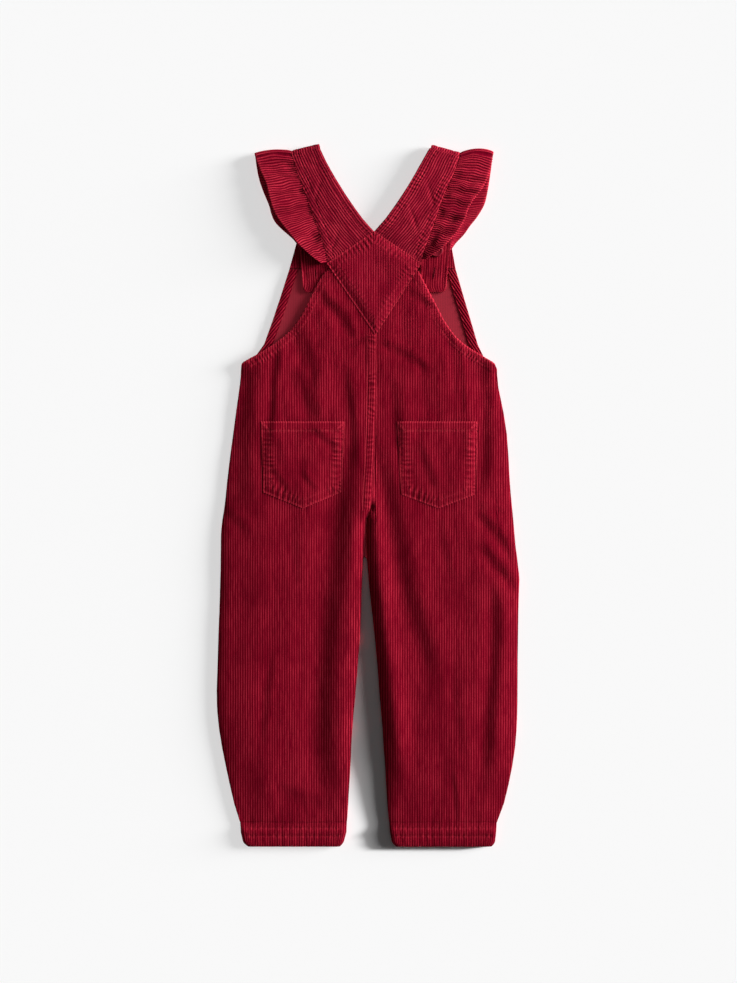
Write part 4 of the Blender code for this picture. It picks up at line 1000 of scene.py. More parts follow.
def cuff_surface(side, heights, low, high, seams, leg):
    """A function of x and h that gives an ankle hem's upper face and how worn it is."""
    def surface(x, h):
        left, right = np.interp(h, heights, low), np.interp(h, heights, high)
        share = np.clip((x - left) / (right - left), 0.0, 1.0)
        near = np.minimum(x - left, right - x)
        lift = CUFF_LIFT + CUFF_WAVE * cuff_gather(side, share) * np.sin(math.pi * share) ** 0.5
        lift = lift - 0.5 * (1.0 - ease(h, 0.0, 6.0))
        bottom = 0.45 * CUFF_LIFT
        lift = bottom + (lift - bottom) * rounded(near, 4.0)
        casing = ease(h, CUFF_ROWS[0], CUFF_ROWS[0] + 2.5)
        casing = casing * (1.0 - ease(h, CUFF_ROWS[1] - 2.5, CUFF_ROWS[1]))
        lift = lift + 0.35 * casing
        joined = ease(h, CUFF_ROWS[1] - 4.0, CUFF_TOP)
        lift = lift + (leg(x, np.maximum(h, CUFF_TOP + 0.4))[0] - lift) * joined
        stitched, wear_light_and_shade = seams.lift(x, h)
        # Painted shade along the rolled bottom edge
        wear_light_and_shade = wear_light_and_shade - 0.8 * (1.0 - ease(h, 0.8, 2.6))
        return lift + stitched * np.clip(near / 4.0, 0, 1), bounded(wear_light_and_shade)

    return surface


def build_cuff(side, looks, leg):
    """Ankle hem: a flattened tube with an elastic casing between two rows of stitches."""
    heights, low, high = outline(f"cuff_{side}")
    seams = Seams()
    for level, seed in zip(CUFF_ROWS, (51, 52)):
        at_low, at_high = np.interp(level, heights, low), np.interp(level, heights, high)
        seams.add([(at_low + 5.0, level), (at_high - 5.0, level)], 4.6, 2.4, 0.35, 0.1, seed)
    surface = cuff_surface(side, heights, low, high, seams, leg)
    xs = wale_columns(float(low.min()), float(high.max()))
    h = np.array(CUFF_LEVELS)[:, None]
    left, right = np.interp(h, heights, low), np.interp(h, heights, high)
    x = xs + (left - xs[0]) * np.clip(1.0 - (xs - xs[0]) / 12.0, 0.0, 1.0)
    x = x + (right - xs[-1]) * np.clip(1.0 - (xs[-1] - xs) / 12.0, 0.0, 1.0)
    u, h = np.broadcast_to(xs, x.shape), np.broadcast_to(h, x.shape)
    lift, wear_light_and_shade = surface(x, h)
    inner_x = np.clip(x, left + CUFF_INSET, right - CUFF_INSET)
    flat = np.zeros(x.shape)
    outside = ((x, h, lift + grooves(u)), (x, h, np.minimum(-0.7 * grooves(u), 2.0)))
    inside = ((inner_x, h, np.maximum(lift - CUFF_WALL, 3.0)), (inner_x, h, flat + CUFF_WALL))
    place = ((u, h, wear_light_and_shade), (u, h, flat))
    outside, inside, place = (
        np.concatenate([np.stack(top, -1), np.stack(under, -1)[:, ::-1]], 1)
        for top, under in (outside, inside, place))
    points, faces = flat_tube(outside, inside)
    place = place.reshape(-1, 3)
    made = add_mesh(f"cuff_{side}_cloth", points, faces, np.concatenate([place, place]),
                    looks["corduroy"], f"cuff_{side}")
    seams.thread(f"cuff_{side}_stitches", lambda a, b: surface(a, b)[0], looks["thread"],
                 "corduroy", 0.2)


# ---------------------------------------------------------------- patches

def patch_grid(corners, shift):
    """A grid over a straight-sided outline given as corners, going round it."""
    heights = np.arange(corners[:, 1].min() + 0.02, corners[:, 1].max(), 0.1)
    low, high = np.full(len(heights), 1e9), np.full(len(heights), -1e9)
    for a, b in zip(corners, np.roll(corners, -1, 0)):
        if abs(b[1] - a[1]) < 1e-6:
            continue
        t = (heights - a[1]) / (b[1] - a[1])
        on = (t >= 0) & (t <= 1)
        xs = a[0] + t * (b[0] - a[0])
        low = np.where(on, np.minimum(low, xs), low)
        high = np.where(on, np.maximum(high, xs), high)
    return fill_outline(heights, low, high, PATCH_STEPS, PATCH_STEPS, 60, shift, BEAD)


def inset_corners(corners, distance):
    """A convex outline drawn in by a distance on every side; corners go anticlockwise."""
    made = []
    for before, here, after in zip(np.roll(corners, 1, 0), corners, np.roll(corners, -1, 0)):
        first, second = here - before, after - here
        first, second = first / np.linalg.norm(first), second / np.linalg.norm(second)
        inward = np.array((-first[1], first[0])), np.array((-second[1], second[0]))
        middle = inward[0] + inward[1]
        made.append(here + middle * distance / (1.0 + inward[0] @ inward[1]))
    return np.array(made)


def edge_wall(distance, wall):
    """Thickness of a patch: thin where its turned edge is pressed, full a little inside."""
    return PRESSED_WALL + (wall - PRESSED_WALL) * ease(distance, 0.0, 9.0)


def build_patch(node, corners, shift, patch, seams, looks, look, slot):
    """A patch whose wales are shifted, with its stitches. patch gives lift, wear with painted
    highlight and shade, and wall.
    """
    x, h = patch_grid(corners, shift)
    lift, wear_light_and_shade, wall = patch(x, h)
    made = flat_shell(f"{node}_cloth", (x, h, lift), (x - shift, h, wear_light_and_shade), wall, looks[look],
                      slot, node)
    seams.thread(f"{node}_stitches", lambda a, b: patch(a, b)[0], looks["thread"], slot, 0.15)
    return made


def build_pocket(side, looks, surface):
    corners = pocket_corners(side)
    hem = corners[2][1] - 8.8
    seams = Seams()
    outer, inner = inset_corners(corners, EDGE_ROW), inset_corners(corners, INNER_ROW)
    seams.add(outer[[2, 1, 0, 4, 3]], 4.9, 3.0, 0.15, 0.16, 61)
    sides = [inner[1], inner[0], inner[4]]
    seams.add([(inner[2][0], hem), *sides, (inner[3][0], hem)], 5.4, 4.8, 0.2, 0.28, 62)
    seams.add([(corners[3][0] + 1.0, hem), (corners[2][0] - 1.0, hem)], 4.2, 2.0, 0.2, 0.05, 63,
              0.8)
    for k, sign in ((3, 1), (2, -1)):
        seams.add([corners[k] + (sign * 1.2, -1.2), corners[k] + (sign * 8.4, -8.2)],
                  9.0, 1.4, 0.3, 0.0, 64, 0.9)

    def patch(x, h):
        distance = near_path([*corners, corners[0]], x, h)[0]
        wall = edge_wall(distance, POCKET_WALL)
        lift = surface(np.asarray(x), np.asarray(h))[0] + 0.1 + wall
        lift = lift + HEM_RISE * ease(h, hem - 0.8, hem + 0.8) * ease(distance, 0.0, 1.2)
        lift = lift + 0.5 * ease(distance, 8.0, 26.0) + 0.12 * unevenness(x, h, 9.0, 65)
        stitched, wear_light_and_shade = seams.lift(x, h)
        # Its turned edge is painted lighter, as wear and painted highlight
        return lift + stitched, bounded(wear_light_and_shade + close_to(distance, 0.7)), wall

    made = build_patch(f"pocket_{side}", corners, side_pick(side, 0.6, -0.7), patch, seams, looks,
                       "corduroy", "corduroy")


def build_yoke(looks, surfaces):
    corners = yoke_corners()
    seams = Seams()
    for inset, seed, reach in ((EDGE_ROW, 71, 3.2), (INNER_ROW, 72, 4.6)):
        ring = inset_corners(corners, inset)
        seams.add([*ring, ring[0]], 4.2, reach, 0.25, 0.25, seed)

    def patch(x, h):
        distance = near_path([*corners, corners[0]], x, h)[0]
        wall = edge_wall(distance, YOKE_WALL)
        lift = YOKE_LIFT + wall + 0.2 * ease(distance, 6.0, 20.0)
        lift = lift + 0.12 * unevenness(x, h, 10.0, 73)
        back = np.where(x < corners[0][0], surfaces["left"](x, h)[0], surfaces["right"](x, h)[0])
        settled = ease(near_path(corners[1:], x, h)[0], 4.0, 32.0)
        lift = lift + (back + 0.1 + wall - lift) * settled
        stitched, wear_light_and_shade = seams.lift(x, h)
        # Its turned edge is painted lighter, as wear and painted highlight
        return lift + stitched, bounded(wear_light_and_shade + close_to(distance, 0.7)), wall

    made = build_patch("yoke_patch", corners, 0.3, patch, seams, looks, "yoke", "corduroy_strap")


def build_side_hem(side, looks):
    """A turned edge inside the bib. Turning a slanted edge slants its wales twice as much."""
    node = f"bib_hem_{side}"
    heights, low, high = outline(node)
    outer = side_pick(side, low, high)
    slope = 2 * math.atan(np.polyfit(heights, outer, 1)[0])
    levels = np.arange(heights[0], heights[-1] + 0.3, 0.8)[:, None]
    across = np.linspace(0.0, HEM_WIDTH - 0.2, 19)
    x = np.interp(levels, heights, outer) + side_pick(side, 1, -1) * across
    h = np.broadcast_to(levels, x.shape)
    u = x * math.cos(slope) - h * math.sin(slope)
    row = close_to(across - HEM_WIDTH + 1.6, 0.6)
    lift = EDGE_LIFT + HEM_WALL + 0.35 * np.sin(math.pi * across / HEM_WIDTH)
    lift = lift + 0.1 * unevenness(x, h, 6.0, 81) - 0.3 * row
    # The fold and the stitch row are painted lighter, as wear and painted highlight
    wear_light_and_shade = 0.5 * close_to(across, 1.0) + 0.3 * row
    made = flat_shell(f"{node}_cloth", (x, h, lift), (u, h, wear_light_and_shade), HEM_WALL, looks["corduroy"],
                      "corduroy", node, HEM_RIDGE, flip=side == "right")


def build_top_hem(looks):
    heights, low, high = outline("bib_hem_top")
    steps = (0.0, 0.9, 1.8, 2.7, 4.0)
    x, h = fill_outline(heights, low, high, steps, steps, 8)
    seams = Seams()
    row = BIB_HEM_LOW + 1.6
    seams.add([(low[0] + 2.0, row), (high[0] - 2.0, row)], 5.0, 3.0, 0.35, 0.15, 83)
    stitched, wear_light_and_shade = seams.lift(x, h)
    top = EDGE_LIFT + HEM_WALL
    made = flat_shell("bib_hem_top_cloth", (x, h, top + stitched), (x, h, wear_light_and_shade), HEM_WALL,
                      looks["corduroy"], "corduroy", "bib_hem_top")
    seams.thread("bib_hem_stitches", lambda a, b: np.full(np.shape(a), top), looks["thread"],
                 "corduroy", 0.4)


# ---------------------------------------------------------------- straps and ruffles

# The strap's wide end, under the yoke. share of the way to the fold, height inside, outside
STRAP_START = ((0.0, 604.1, 576.2), (0.07, 613.4, 583.6), (0.12, 617.0, 590.0))
# Heights on the front between which a strap's sections are evenly spaced, then of its round end
STRAP_RUN = (688.0, 560.0)
STRAP_TIP = (558.6, 557.4, 556.2, 555.2, 554.4, 553.8, 553.4)
BACK_SECTIONS, ROLL_SECTIONS, FRONT_SECTIONS = 149, 13, 90
STRAP_POINTS = 121          # across a section


def fold_frame(side):
    """Ends of the axis that a strap folds round, and the way it faces at the fold."""
    outer, inner = (np.array(end) for end in FOLD_LINES[side])
    along = (inner - outer) / np.linalg.norm(inner - outer)
    outward = np.array((-along[1], along[0]))
    if outward[1] < 0:
        outward = -outward
    return outer - FOLD_RADIUS * outward, inner - FOLD_RADIUS * outward, outward


def roll_points(spots, outward, angle, radius):
    """Points carried round the shoulder fold, and the way their outside faces."""
    ahead = spots + outward * radius * math.sin(angle)
    lift = np.full(len(spots), FOLD_RADIUS + radius * math.cos(angle))
    facing = np.array((*(outward * math.sin(angle)), math.cos(angle)))
    return np.column_stack([ahead, lift]), np.broadcast_to(facing, (len(spots), 3))


def folded_shell(name, spots, place, wall, materials, node, ridge=RIDGE, flip=False):
    """A closed piece that folds over, with wales.

    spots are its middle, the way it faces and its own relief. place is across the wales, along
    them, and the wear with painted highlight and painted shade.
    """
    middle, facing, lift = spots
    cloth = np.stack(np.broadcast_arrays(*place), -1)
    core = middle + facing * (wall / 2 + lift)[..., None]
    face = core + facing * grooves(cloth[..., 0], ridge)[..., None]
    grids = (face, core, facing, cloth)
    if flip:
        grids = (grid[:, ::-1] for grid in grids)
    return shell(name, *grids, wall, materials, "corduroy_strap", node)


def strap_sections(side):
    """Sections of a strap from under the yoke to its tab: two ends, lift and roll angle."""
    roll_outer, roll_inner, outward = fold_frame(side)
    pick = side_pick(side, 1, 2)
    shares, starts_inner, starts_outer = zip(*STRAP_START, (1.0, roll_inner[1], roll_outer[1]))
    sections = []
    for share in np.linspace(0.0, 1.0, BACK_SECTIONS + 1)[:-1]:
        inner_h = np.interp(share, shares, starts_inner)
        outer_h = np.interp(share, shares, starts_outer)
        outer = (float(column(STRAP_OUTER, outer_h, pick)), outer_h)
        inner = (float(column(STRAP_INNER, inner_h, pick)), inner_h)
        sections.append((outer, inner, float(straight(STRAP_BACK_LIFT, outer_h)) + 1.0, 0.0))
    for angle in np.linspace(0.0, math.pi, ROLL_SECTIONS):
        sections.append((roll_outer, roll_inner, None, angle))
    outer_pick, inner_pick = side_pick(side, 1, 4), side_pick(side, 2, 3)
    for h in (*np.linspace(*STRAP_RUN, FRONT_SECTIONS), *STRAP_TIP):
        outer = (float(straight(STRAP_FRONT, h, outer_pick)), h)
        inner = (float(straight(STRAP_FRONT, h, inner_pick)), h)
        sections.append((outer, inner, float(column(STRAP_FRONT_LIFT, h)) + 1.0, math.pi))
    return sections, outward


def strap_grid(side):
    """Shares across a strap, its middle and the way it faces, and each section's width and roll."""
    sections, outward = strap_sections(side)
    shares = np.linspace(0.0, 1.0, STRAP_POINTS)
    middle, facing = [], []
    for outer, inner, lift, angle in sections:
        outer, inner = np.array(outer), np.array(inner)
        spots = outer + (inner - outer) * shares[:, None]
        if lift is None:
            spot, face = roll_points(spots, outward, angle, FOLD_RADIUS - STRAP_WALL / 2)
        else:
            spot = np.column_stack([spots, np.full(len(spots), lift)])
            face = np.broadcast_to((0.0, 0.0, math.cos(angle)), (len(spots), 3))
        middle.append(spot)
        facing.append(face)
    widths = [math.dist(outer, inner) for outer, inner, *_ in sections]
    rolled = [float(lift is None) for _, _, lift, _ in sections]
    return shares, np.array(middle), np.array(facing), *(
        np.array(values)[:, None] for values in (widths, rolled))


def build_strap(side, looks):
    shares, middle, facing, widths, rolled = strap_grid(side)
    centre = middle[:, len(shares) // 2]
    steps = np.linalg.norm(np.diff(centre, axis=0), axis=1)
    along = np.concatenate([[0.0], np.cumsum(steps)])
    from_inner, from_outer = (1.0 - shares) * widths, shares * widths
    v = np.broadcast_to(along[:, None], from_inner.shape)
    seed = side_pick(side, 91, 96)
    lift, wear_light_and_shade = np.zeros(v.shape), np.zeros(v.shape)
    for distance in (from_inner, from_outer):
        for row, depth in ((EDGE_ROW, 0.16), (INNER_ROW - 0.6, 0.26)):
            uneven = 2.4 * unevenness(v, distance, 7.0, seed + int(row))
            ripple = np.sin(2 * math.pi * v / 4.0 + uneven)
            ripple = ripple * (0.8 + 0.6 * unevenness(v, distance, 11.0, seed + 7))
            near = close_to(distance - row, 3.0)
            lift += 0.24 * ripple * near - depth * close_to(distance - row, 0.7)
            # Pucker crests are painted lighter and their troughs darker, as painted highlight and
            # painted shade
            wear_light_and_shade += (0.05 + 0.6 * ripple) * near
        # Its edges are painted lighter, as wear and painted highlight
        wear_light_and_shade += 0.8 * close_to(distance, 0.7)
        lift -= 0.3 * close_to(distance, 0.8)
    for place, lean, depth, width, start in STRAP_CREASES[side]:
        aside = from_outer - start
        lift -= depth * close_to(v - place - lean * aside, width) * close_to(aside, 8.0)
    lift -= 0.3 * close_to(along[-1] - v - 5.0, 0.7)
    lift += 0.2 * unevenness(from_inner, 0.7 * v, 8.0, seed + 1) * (1 - rolled)
    under = (facing[..., 2] < -0.5) & (middle[..., 2] < 1.2)
    lift = np.where(under, np.minimum(lift, 0.0), lift)
    across = from_inner + 0.45 * unevenness(from_inner, 0.6 * v, 8.0, seed + 2)
    # The straps are painted darker all over, the left one most, as painted shade
    place = (across, v, bounded(wear_light_and_shade - side_pick(side, 0.3, 0.05)))
    # Its far side, which shows inside the bib as the tab, takes the darker body cloth as painted
    # shade
    made = folded_shell(f"strap_{side}_cloth", (middle, facing, lift), place, STRAP_WALL,
                        [looks["strap"], looks["corduroy"]], f"strap_{side}",
                        flip=side == "right")


def ruffle_ends(side, table, at):
    """Seam height, and x and height of the free edge, at positions in a table of wales."""
    rows = [(k, *row) for k, row in enumerate(table)]
    first = side_pick(side, 1, 4)
    return tuple(column(rows, at, first + k) for k in range(3))


def even_wales(side, table, first_at, last_at):
    """Positions in a table that space the wales evenly along the free edge, and their turns."""
    at = np.linspace(first_at, last_at, 400)
    _, x, h = ruffle_ends(side, table, at)
    run = np.concatenate([[0.0], np.cumsum(np.hypot(np.diff(x), np.diff(h)))])
    count = int(round(run[-1] / RUFFLE_PITCH))
    turns = wale_turns(0, count)
    return np.interp(turns / count * run[-1], run, at)[:, None], turns[:, None]


def ruffle_seam(side, strap_edge):
    return strap_edge + side_pick(side, -1, 1) * RUFFLE_GAP * 0.4


def ruffle_back(side, shares, bulge):
    """Wales of a ruffle on the back, from its lower end up: turns, points, facing and painted
    shade.
    """
    last = len(RUFFLE_BACK) - 1
    at, turns = even_wales(side, RUFFLE_BACK, 0.0, last - 0.3)
    seam_h, end_x, end_h = ruffle_ends(side, RUFFLE_BACK, at)
    seam_x = ruffle_seam(side, column(STRAP_OUTER, seam_h, side_pick(side, 1, 2)))
    reach = shares * (1.0 + RUFFLE_BEAD * wale_shape(turns))
    done = at / last
    fold = ease(done, 0.8, 0.97)
    x = seam_x + (end_x - seam_x) * reach + bulge[:, 0] * fold
    h = seam_h + (end_h - seam_h) * reach + bulge[:, 1] * fold
    phase = np.interp(seam_h, GATHERS[side], range(len(GATHERS[side])))
    seed = side_pick(side, 101, 111)
    height_of_wave = 0.75 + 0.3 * unevenness(phase, 0 * phase, 1.3, seed)
    drift = 0.25 * unevenness(phase, 0 * phase, 1.7, seed + 1)
    settle = 1.0 - ease(done, 0.72, 1.0)
    end_rise = RUFFLE_END_RISE * (1.0 - ease(done, 0.2, 0.45))
    lift = straight(STRAP_BACK_LIFT, seam_h) + RUFFLE_SEAM
    lift = lift + (1.0 - RUFFLE_SEAM) * np.maximum(ease(shares, 0.3, 1.0), 1.0 - settle)
    lift = lift + (RUFFLE_RISE * settle + end_rise) * shares ** 0.85
    calm = (ease(done, 0.06, 0.25) * 0.8 + 0.2) * (1.0 - ease(done, 0.87, 1.0))
    wave = RUFFLE_WAVE[0] + (RUFFLE_WAVE[1] - RUFFLE_WAVE[0]) * shares ** 0.8
    swing = 2 * math.pi * (phase + drift * shares)
    lift = lift - calm * wave * height_of_wave * np.cos(swing)
    pinch = np.cos(4 * math.pi * phase + 1.1 * np.sin(3.1 * phase))
    pinch = pinch * height_of_wave * (1.0 - 0.6 * ease(done, 0.83, 1.0))
    lift = lift - 0.45 * (1 - shares) ** 2.2 * pinch
    pit = np.zeros(lift.shape)
    for place, share, size, depth in DIMPLES[side]:
        aside = (shares - share) * RUFFLE_WIDTH
        pit += depth * close_to(seam_h - place, size) * close_to(aside, size)
    low_end_shade = RUFFLE_LOW_END_SHADE[side] * (1.0 - ease(done, 0.08, 0.3))
    # Painted shade: in the dimples, on the pinches by the seam and on the lowest gathers
    dark = 0.7 * pit + 0.3 * (1 - shares) ** 3 * np.maximum(pinch, 0.0) + low_end_shade
    points = np.stack([x, h, lift - pit], -1)
    return turns, points, np.broadcast_to((0.0, 0.0, 1.0), points.shape), dark


def ruffle_fold(side, shares, bulge):
    """Wales of a ruffle over the shoulder, in the same form."""
    roll_outer, roll_inner, outward = fold_frame(side)
    away = (roll_outer - roll_inner) / np.linalg.norm(roll_outer - roll_inner)
    start = np.array(ruffle_ends(side, RUFFLE_BACK, len(RUFFLE_BACK) - 1)[1:])
    finish = np.array(ruffle_ends(side, RUFFLE_FRONT, 0.0)[1:])
    seam = roll_outer + away * RUFFLE_GAP * 0.4
    turns = wale_turns(0, FOLD_WALES)
    points, facing = [], []
    for part in turns / FOLD_WALES:
        free = start + (finish - start) * part
        spots = seam + (free - seam) * shares[:, None] + bulge
        spot, face = roll_points(spots, outward, math.pi * part, FOLD_RADIUS - RUFFLE_WALL / 2)
        points.append(spot)
        facing.append(face)
    return turns[:, None], points, facing, np.zeros((len(turns), len(shares)))


def ruffle_front(side, shares, bulge):
    """Wales of a ruffle on the front, from the shoulder down, in the same form."""
    last, low = len(RUFFLE_FRONT) - 1, RUFFLE_WALL / 2
    at, turns = even_wales(side, RUFFLE_FRONT, 0.35, last)
    seam_h, end_x, end_h = ruffle_ends(side, RUFFLE_FRONT, at)
    seam_x = ruffle_seam(side, straight(STRAP_FRONT, seam_h, side_pick(side, 1, 4)))
    fold = 1.0 - ease(at, 0.35, 2.2)
    x = seam_x + (end_x - seam_x) * shares + bulge[:, 0] * fold
    h = seam_h + (end_h - seam_h) * shares + bulge[:, 1] * fold
    seam_lift = np.maximum(column(STRAP_FRONT_LIFT, seam_h) + 1.0, low)
    wave = RUFFLE_WAVE[0] + (0.75 * RUFFLE_WAVE[1] - RUFFLE_WAVE[0]) * shares
    swing = 2 * math.pi * FRONT_GATHERS * at / last
    lift = seam_lift + (low - seam_lift) * np.minimum(1.0, 1.2 * shares)
    lift = lift + ease(at, 0.0, 1.0) * wave * (1 - np.cos(swing)) * 0.7
    points = np.stack([x, h, np.maximum(lift, low)], -1)
    return turns, points, np.broadcast_to((0.0, 0.0, -1.0), points.shape), np.zeros(x.shape)


def build_ruffle(side, looks):
    """A gathered frill, wales across it, folded over the shoulder with its strap."""
    shares = np.linspace(0.0, 1.0, RUFFLE_POINTS)
    bulge = RUFFLE_BULGE[side] * np.sin(math.pi * shares)[:, None] ** 0.7 * fold_frame(side)[2]
    laid, first = [], 0.0
    for part in (ruffle_back, ruffle_fold, ruffle_front):
        turns, *rest = part(side, shares, bulge)
        laid.append((first + turns, *rest))
        first = laid[-1][0][-1, 0] + 0.12
    turns, middle, facing, dark = (np.concatenate(grids) for grids in zip(*laid))
    u = np.broadcast_to(turns * WALE, dark.shape)
    aside = np.broadcast_to(shares * RUFFLE_WIDTH, u.shape)
    # The free edge is painted lighter, as wear and painted highlight; the seam gap and the shaded
    # gathers are painted darker, as painted shade
    wear_light_and_shade = close_to(RUFFLE_WIDTH - aside, 1.5) - 1.1 * close_to(aside, 1.1) - dark
    bend = 1.1 * unevenness(aside, u, 9.0, side_pick(side, 104, 114))
    bend[:2] = bend[-2:] = 0.0
    bend = bend * np.sin(math.pi * np.clip(shares, 0.04, 0.96))
    way = np.gradient(middle[..., :2], axis=0)
    way /= np.maximum(np.linalg.norm(way, axis=-1), 1e-6)[..., None]
    level = (np.abs(facing[..., 2]) > 0.999)[..., None]
    middle[..., :2] += way * bend[..., None] * level
    made = folded_shell(f"ruffle_{side}_cloth", (middle, facing, np.zeros(u.shape)),
                        (u, aside, bounded(wear_light_and_shade)), RUFFLE_WALL, [looks["ruffle"]],
                        f"ruffle_{side}", RUFFLE_RIDGE, flip=side == "left")


# ---------------------------------------------------------------- buttons and buttonholes

# Rings of a button, from the edge of its underside inwards: for the rim how far each is inside the
# button's radius, for the middle its own radius, and then its height
BUTTON_RIM = ((0.9, 0.0), (0.2, 0.3), (0.0, 0.8), (0.1, 1.3), (0.6, 1.75), (1.2, 1.8), (1.8, 1.5),
              (2.4, 1.3))
BUTTON_MIDDLE = ((2.8, 1.25), (0.6, 1.25))
BUTTON_SIDES = 56


def build_button(side, looks):
    """A disc with a raised rim, and the cross of thread that holds it."""
    node = f"button_{side}"
    low, high = (np.array(corner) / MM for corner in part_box(node))
    centre = 0.5 * (low + high) + (0.0, LENGTH / 2, 0.0)
    radius, base = 0.5 * (high[0] - low[0]), low[2]
    rings = [(radius - inset, lift) for inset, lift in BUTTON_RIM] + list(BUTTON_MIDDLE)
    points = [(centre[0] + ring * math.cos(turn), centre[1] + ring * math.sin(turn), base + lift)
              for ring, lift in rings for turn in full_turn(BUTTON_SIDES)]
    faces = ring_faces(len(rings), BUTTON_SIDES)
    faces.append(tuple(range(BUTTON_SIDES - 1, -1, -1)))
    faces.append(tuple(range(len(points) - BUTTON_SIDES, len(points))))
    add_mesh(f"{node}_disc", points, faces, np.zeros((len(points), 3)), looks["button"],
             node)
    seams = Seams()
    reach = 1.9 * math.sqrt(0.5)
    for rise in (1, -1):
        for nudge in (-0.25, 0.25):
            seams.add([(centre[0] - reach + nudge, centre[1] - rise * reach),
                       (centre[0] + reach + nudge, centre[1] + rise * reach)])
    seams.thread(f"{node}_thread", lambda x, h: np.full(np.shape(x), base + 1.35),
                 looks["thread"], "button")


# Buttonholes: heights of their lower ends, and for each side the tab's middle and its lean
BUTTONHOLE_LOWS = (567.2, 587.4)
TAB_MIDDLE = {"left": (-52.4, -0.083), "right": (66.2, 0.089)}
TAB_HEIGHT = 575.0          # the height at which the tab's middle is given
HOLE_HALF_WIDTH = 0.75
HOLE_THREAD = 0.45          # radius of the sewing round a slot
SLIT_HALF_LENGTH = 6.9
RING_STEPS, RING_SIDES, SLIT_STEPS = 44, 8, 24


def build_buttonholes(side, looks):
    """Two sewn slots up the middle of a tab, on the inside of the bib."""
    middle_x, lean = TAB_MIDDLE[side]
    for number, low_h in enumerate(BUTTONHOLE_LOWS):
        top_lift = float(column(STRAP_FRONT_LIFT, low_h + 7.0)) + STRAP_WALL
        middle_h = low_h + BUTTONHOLE / 2

        def spot(aside, up, lift):
            return middle_x + aside + lean * (middle_h + up - TAB_HEIGHT), middle_h + up, lift

        points = []
        for k, turn in enumerate(full_turn(RING_STEPS)):
            swell = 1.0 + 0.16 * (k % 2)
            for face in full_turn(RING_SIDES):
                out = HOLE_THREAD * swell * math.cos(face)
                points.append(spot((HOLE_HALF_WIDTH + out) * math.cos(turn),
                                   (BUTTONHOLE / 2 + out) * math.sin(turn),
                                   top_lift - 0.3 + 0.4 * swell * math.sin(face)))
        faces = [face[::-1] for face in ring_faces(RING_STEPS, RING_SIDES)]
        last = len(points) - RING_SIDES
        for a in range(RING_SIDES):
            b = (a + 1) % RING_SIDES
            faces.append((last + a, a, b, last + b))
        add_mesh(f"buttonhole_{side}_{number}", points, faces, np.zeros((len(points), 3)),
                 looks["thread"])
        # A near-black sheet painted as the shadow inside the slot
        slit = [spot((0.45 - 0.3 * math.sin(turn)) * math.cos(turn),
                     SLIT_HALF_LENGTH * math.sin(turn), top_lift + 0.12)
                for turn in full_turn(SLIT_STEPS)]
        add_mesh(f"buttonhole_{side}_{number}_slit", slit, [tuple(range(SLIT_STEPS))],
                 np.zeros((SLIT_STEPS, 3)), looks["dark"])


# ---------------------------------------------------------------- stage

FLOOR_HALF = 4.0            # in metres
FLOOR_DROP = 0.0004


def build_stage():
    mesh = bpy.data.meshes.new("floor")
    corners = [(x * FLOOR_HALF, y * FLOOR_HALF, 0) for x, y in ((-1, -1), (1, -1), (1, 1), (-1, 1))]
    mesh.from_pydata(corners, [], [(0, 1, 2, 3)])
    mesh.materials.append(matt("pale_floor", (0.93, 0.93, 0.93)))
    floor = bpy.data.objects.new("floor", mesh)
    bpy.context.scene.collection.objects.link(floor)
    floor.location.z = -FLOOR_DROP
    return floor


def link_light(light, kind, things):
    """Let a light reach, or be blocked by, only these things."""
    group = bpy.data.collections.new(f"{light.name}_{kind}s")
    for thing in things:
        group.objects.link(thing)
    setattr(light.light_linking, f"{kind}_collection", group)


def add_light(name, kind, power):
    lamp = bpy.data.lights.new(name, kind)
    lamp.energy = power
    light = bpy.data.objects.new(name, lamp)
    bpy.context.scene.collection.objects.link(light)
    return light


def add_sun(name, look, receivers, blockers=()):
    power, height, turn, spread = look
    sun = add_light(name, "SUN", power)
    sun.data.angle = math.radians(spread)
    sun.rotation_euler = (0.0, math.radians(90.0 - height), math.radians(turn))
    link_light(sun, "receiver", receivers)
    if blockers:
        link_light(sun, "blocker", blockers)


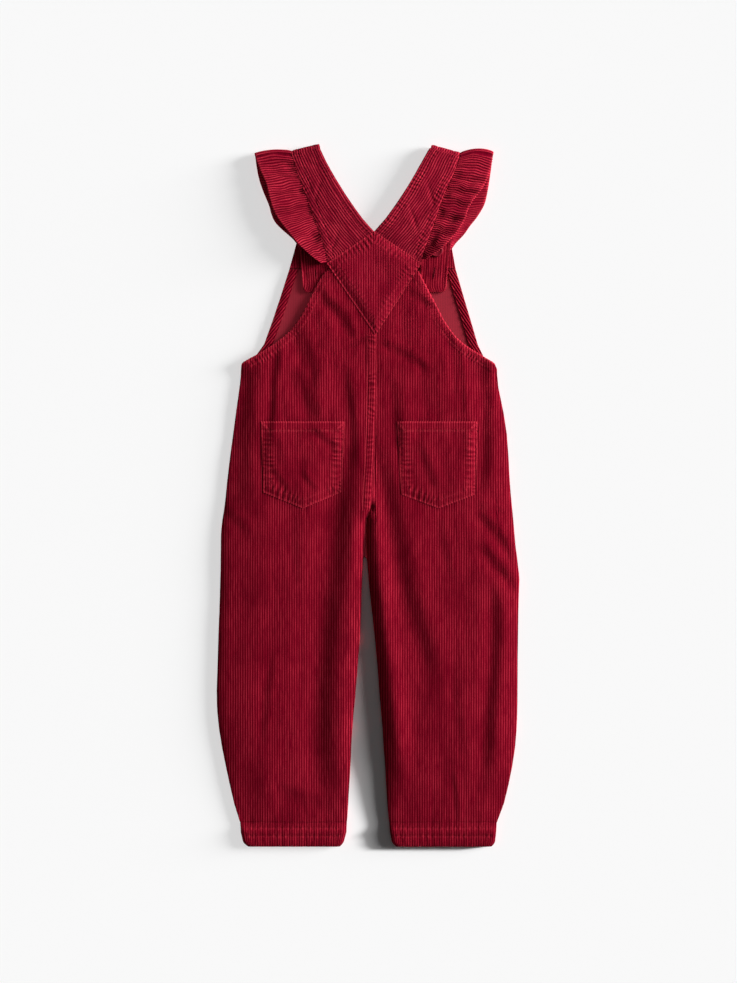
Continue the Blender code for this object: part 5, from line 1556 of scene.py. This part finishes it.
def build_lights(floor):
    """Five suns and a soft lamp. Each lights either the garment or the floor."""
    scene = bpy.context.scene
    scene.world = bpy.data.worlds.new("studio")
    scene.world.use_nodes = True
    background = scene.world.node_tree.nodes["Background"]
    background.inputs[0].default_value = (1.0, 1.0, 1.0, 1.0)
    background.inputs[1].default_value = FILL
    scene.view_settings.view_transform = "Standard"
    cloth = [thing for thing in scene.collection.objects if thing.type == "MESH" and thing != floor]

    def named(*starts):
        return [thing for thing in cloth if thing.name.startswith(starts)]

    add_sun("key", KEY, cloth)
    add_sun("key_open", KEY_OPEN, cloth,
            named("front", "bib_hem", "pocket", "cuff", "button", "ruffle"))
    add_sun("sky", SKY, cloth)
    add_sun("floor_deep", FLOOR_DEEP, [floor], named("back_right", "front_right", "cuff_right"))
    add_sun("floor_soft", FLOOR_SOFT, [floor])
    power, place, size = LAMP
    lamp = add_light("lamp", "AREA", power)
    lamp.data.size = size
    lamp.location = place
    lean = math.atan2(place[1] - LAMP_AIM, math.hypot(place[0], place[2]))
    lamp.rotation_euler = (-lean, math.atan2(place[0], place[2]), 0.0)
    link_light(lamp, "receiver", cloth)


def build_camera():
    """Straight above, at the distance from which the picture's height fills the view."""
    lens = bpy.data.cameras.new("camera")
    lens.lens = CAMERA_LENS
    lens.sensor_fit = "VERTICAL"
    lens.sensor_height = SENSOR
    lens.clip_start, lens.clip_end = 0.05, 20.0
    camera = bpy.data.objects.new("camera", lens)
    camera.location = (PICTURE_CENTRE[0] * MM, PICTURE_CENTRE[1] * MM,
                       PICTURE[1] * MM * CAMERA_LENS / SENSOR)
    bpy.context.scene.collection.objects.link(camera)
    bpy.context.scene.camera = camera


def main():
    looks = {
        "corduroy": corduroy("corduroy", RED),
        "yoke": corduroy("corduroy_yoke", YOKE_RED),
        "strap": corduroy("corduroy_strap", STRAP_RED),
        "ruffle": corduroy("corduroy_ruffle", RUFFLE_RED),
        "inside": smooth_inside("corduroy_inside", INSIDE),
        "thread": thread_material(),
        "button": button_material(),
        "dark": matt("slit_shadow", (0.010, 0.0005, 0.001)),
    }
    surfaces = {}
    for side in SIDES:
        build_front(side, looks)
        surfaces[side] = build_back(side, looks)
        build_cuff(side, looks, surfaces[side])
        build_pocket(side, looks, surfaces[side])
        build_strap(side, looks)
        build_ruffle(side, looks)
        build_button(side, looks)
        build_buttonholes(side, looks)
    for side in SIDES:
        build_side_hem(side, looks)
    build_top_hem(looks)
    build_yoke(looks, surfaces)
    build_lights(build_stage())
    build_camera()
    bpy.context.view_layer.update()


main()
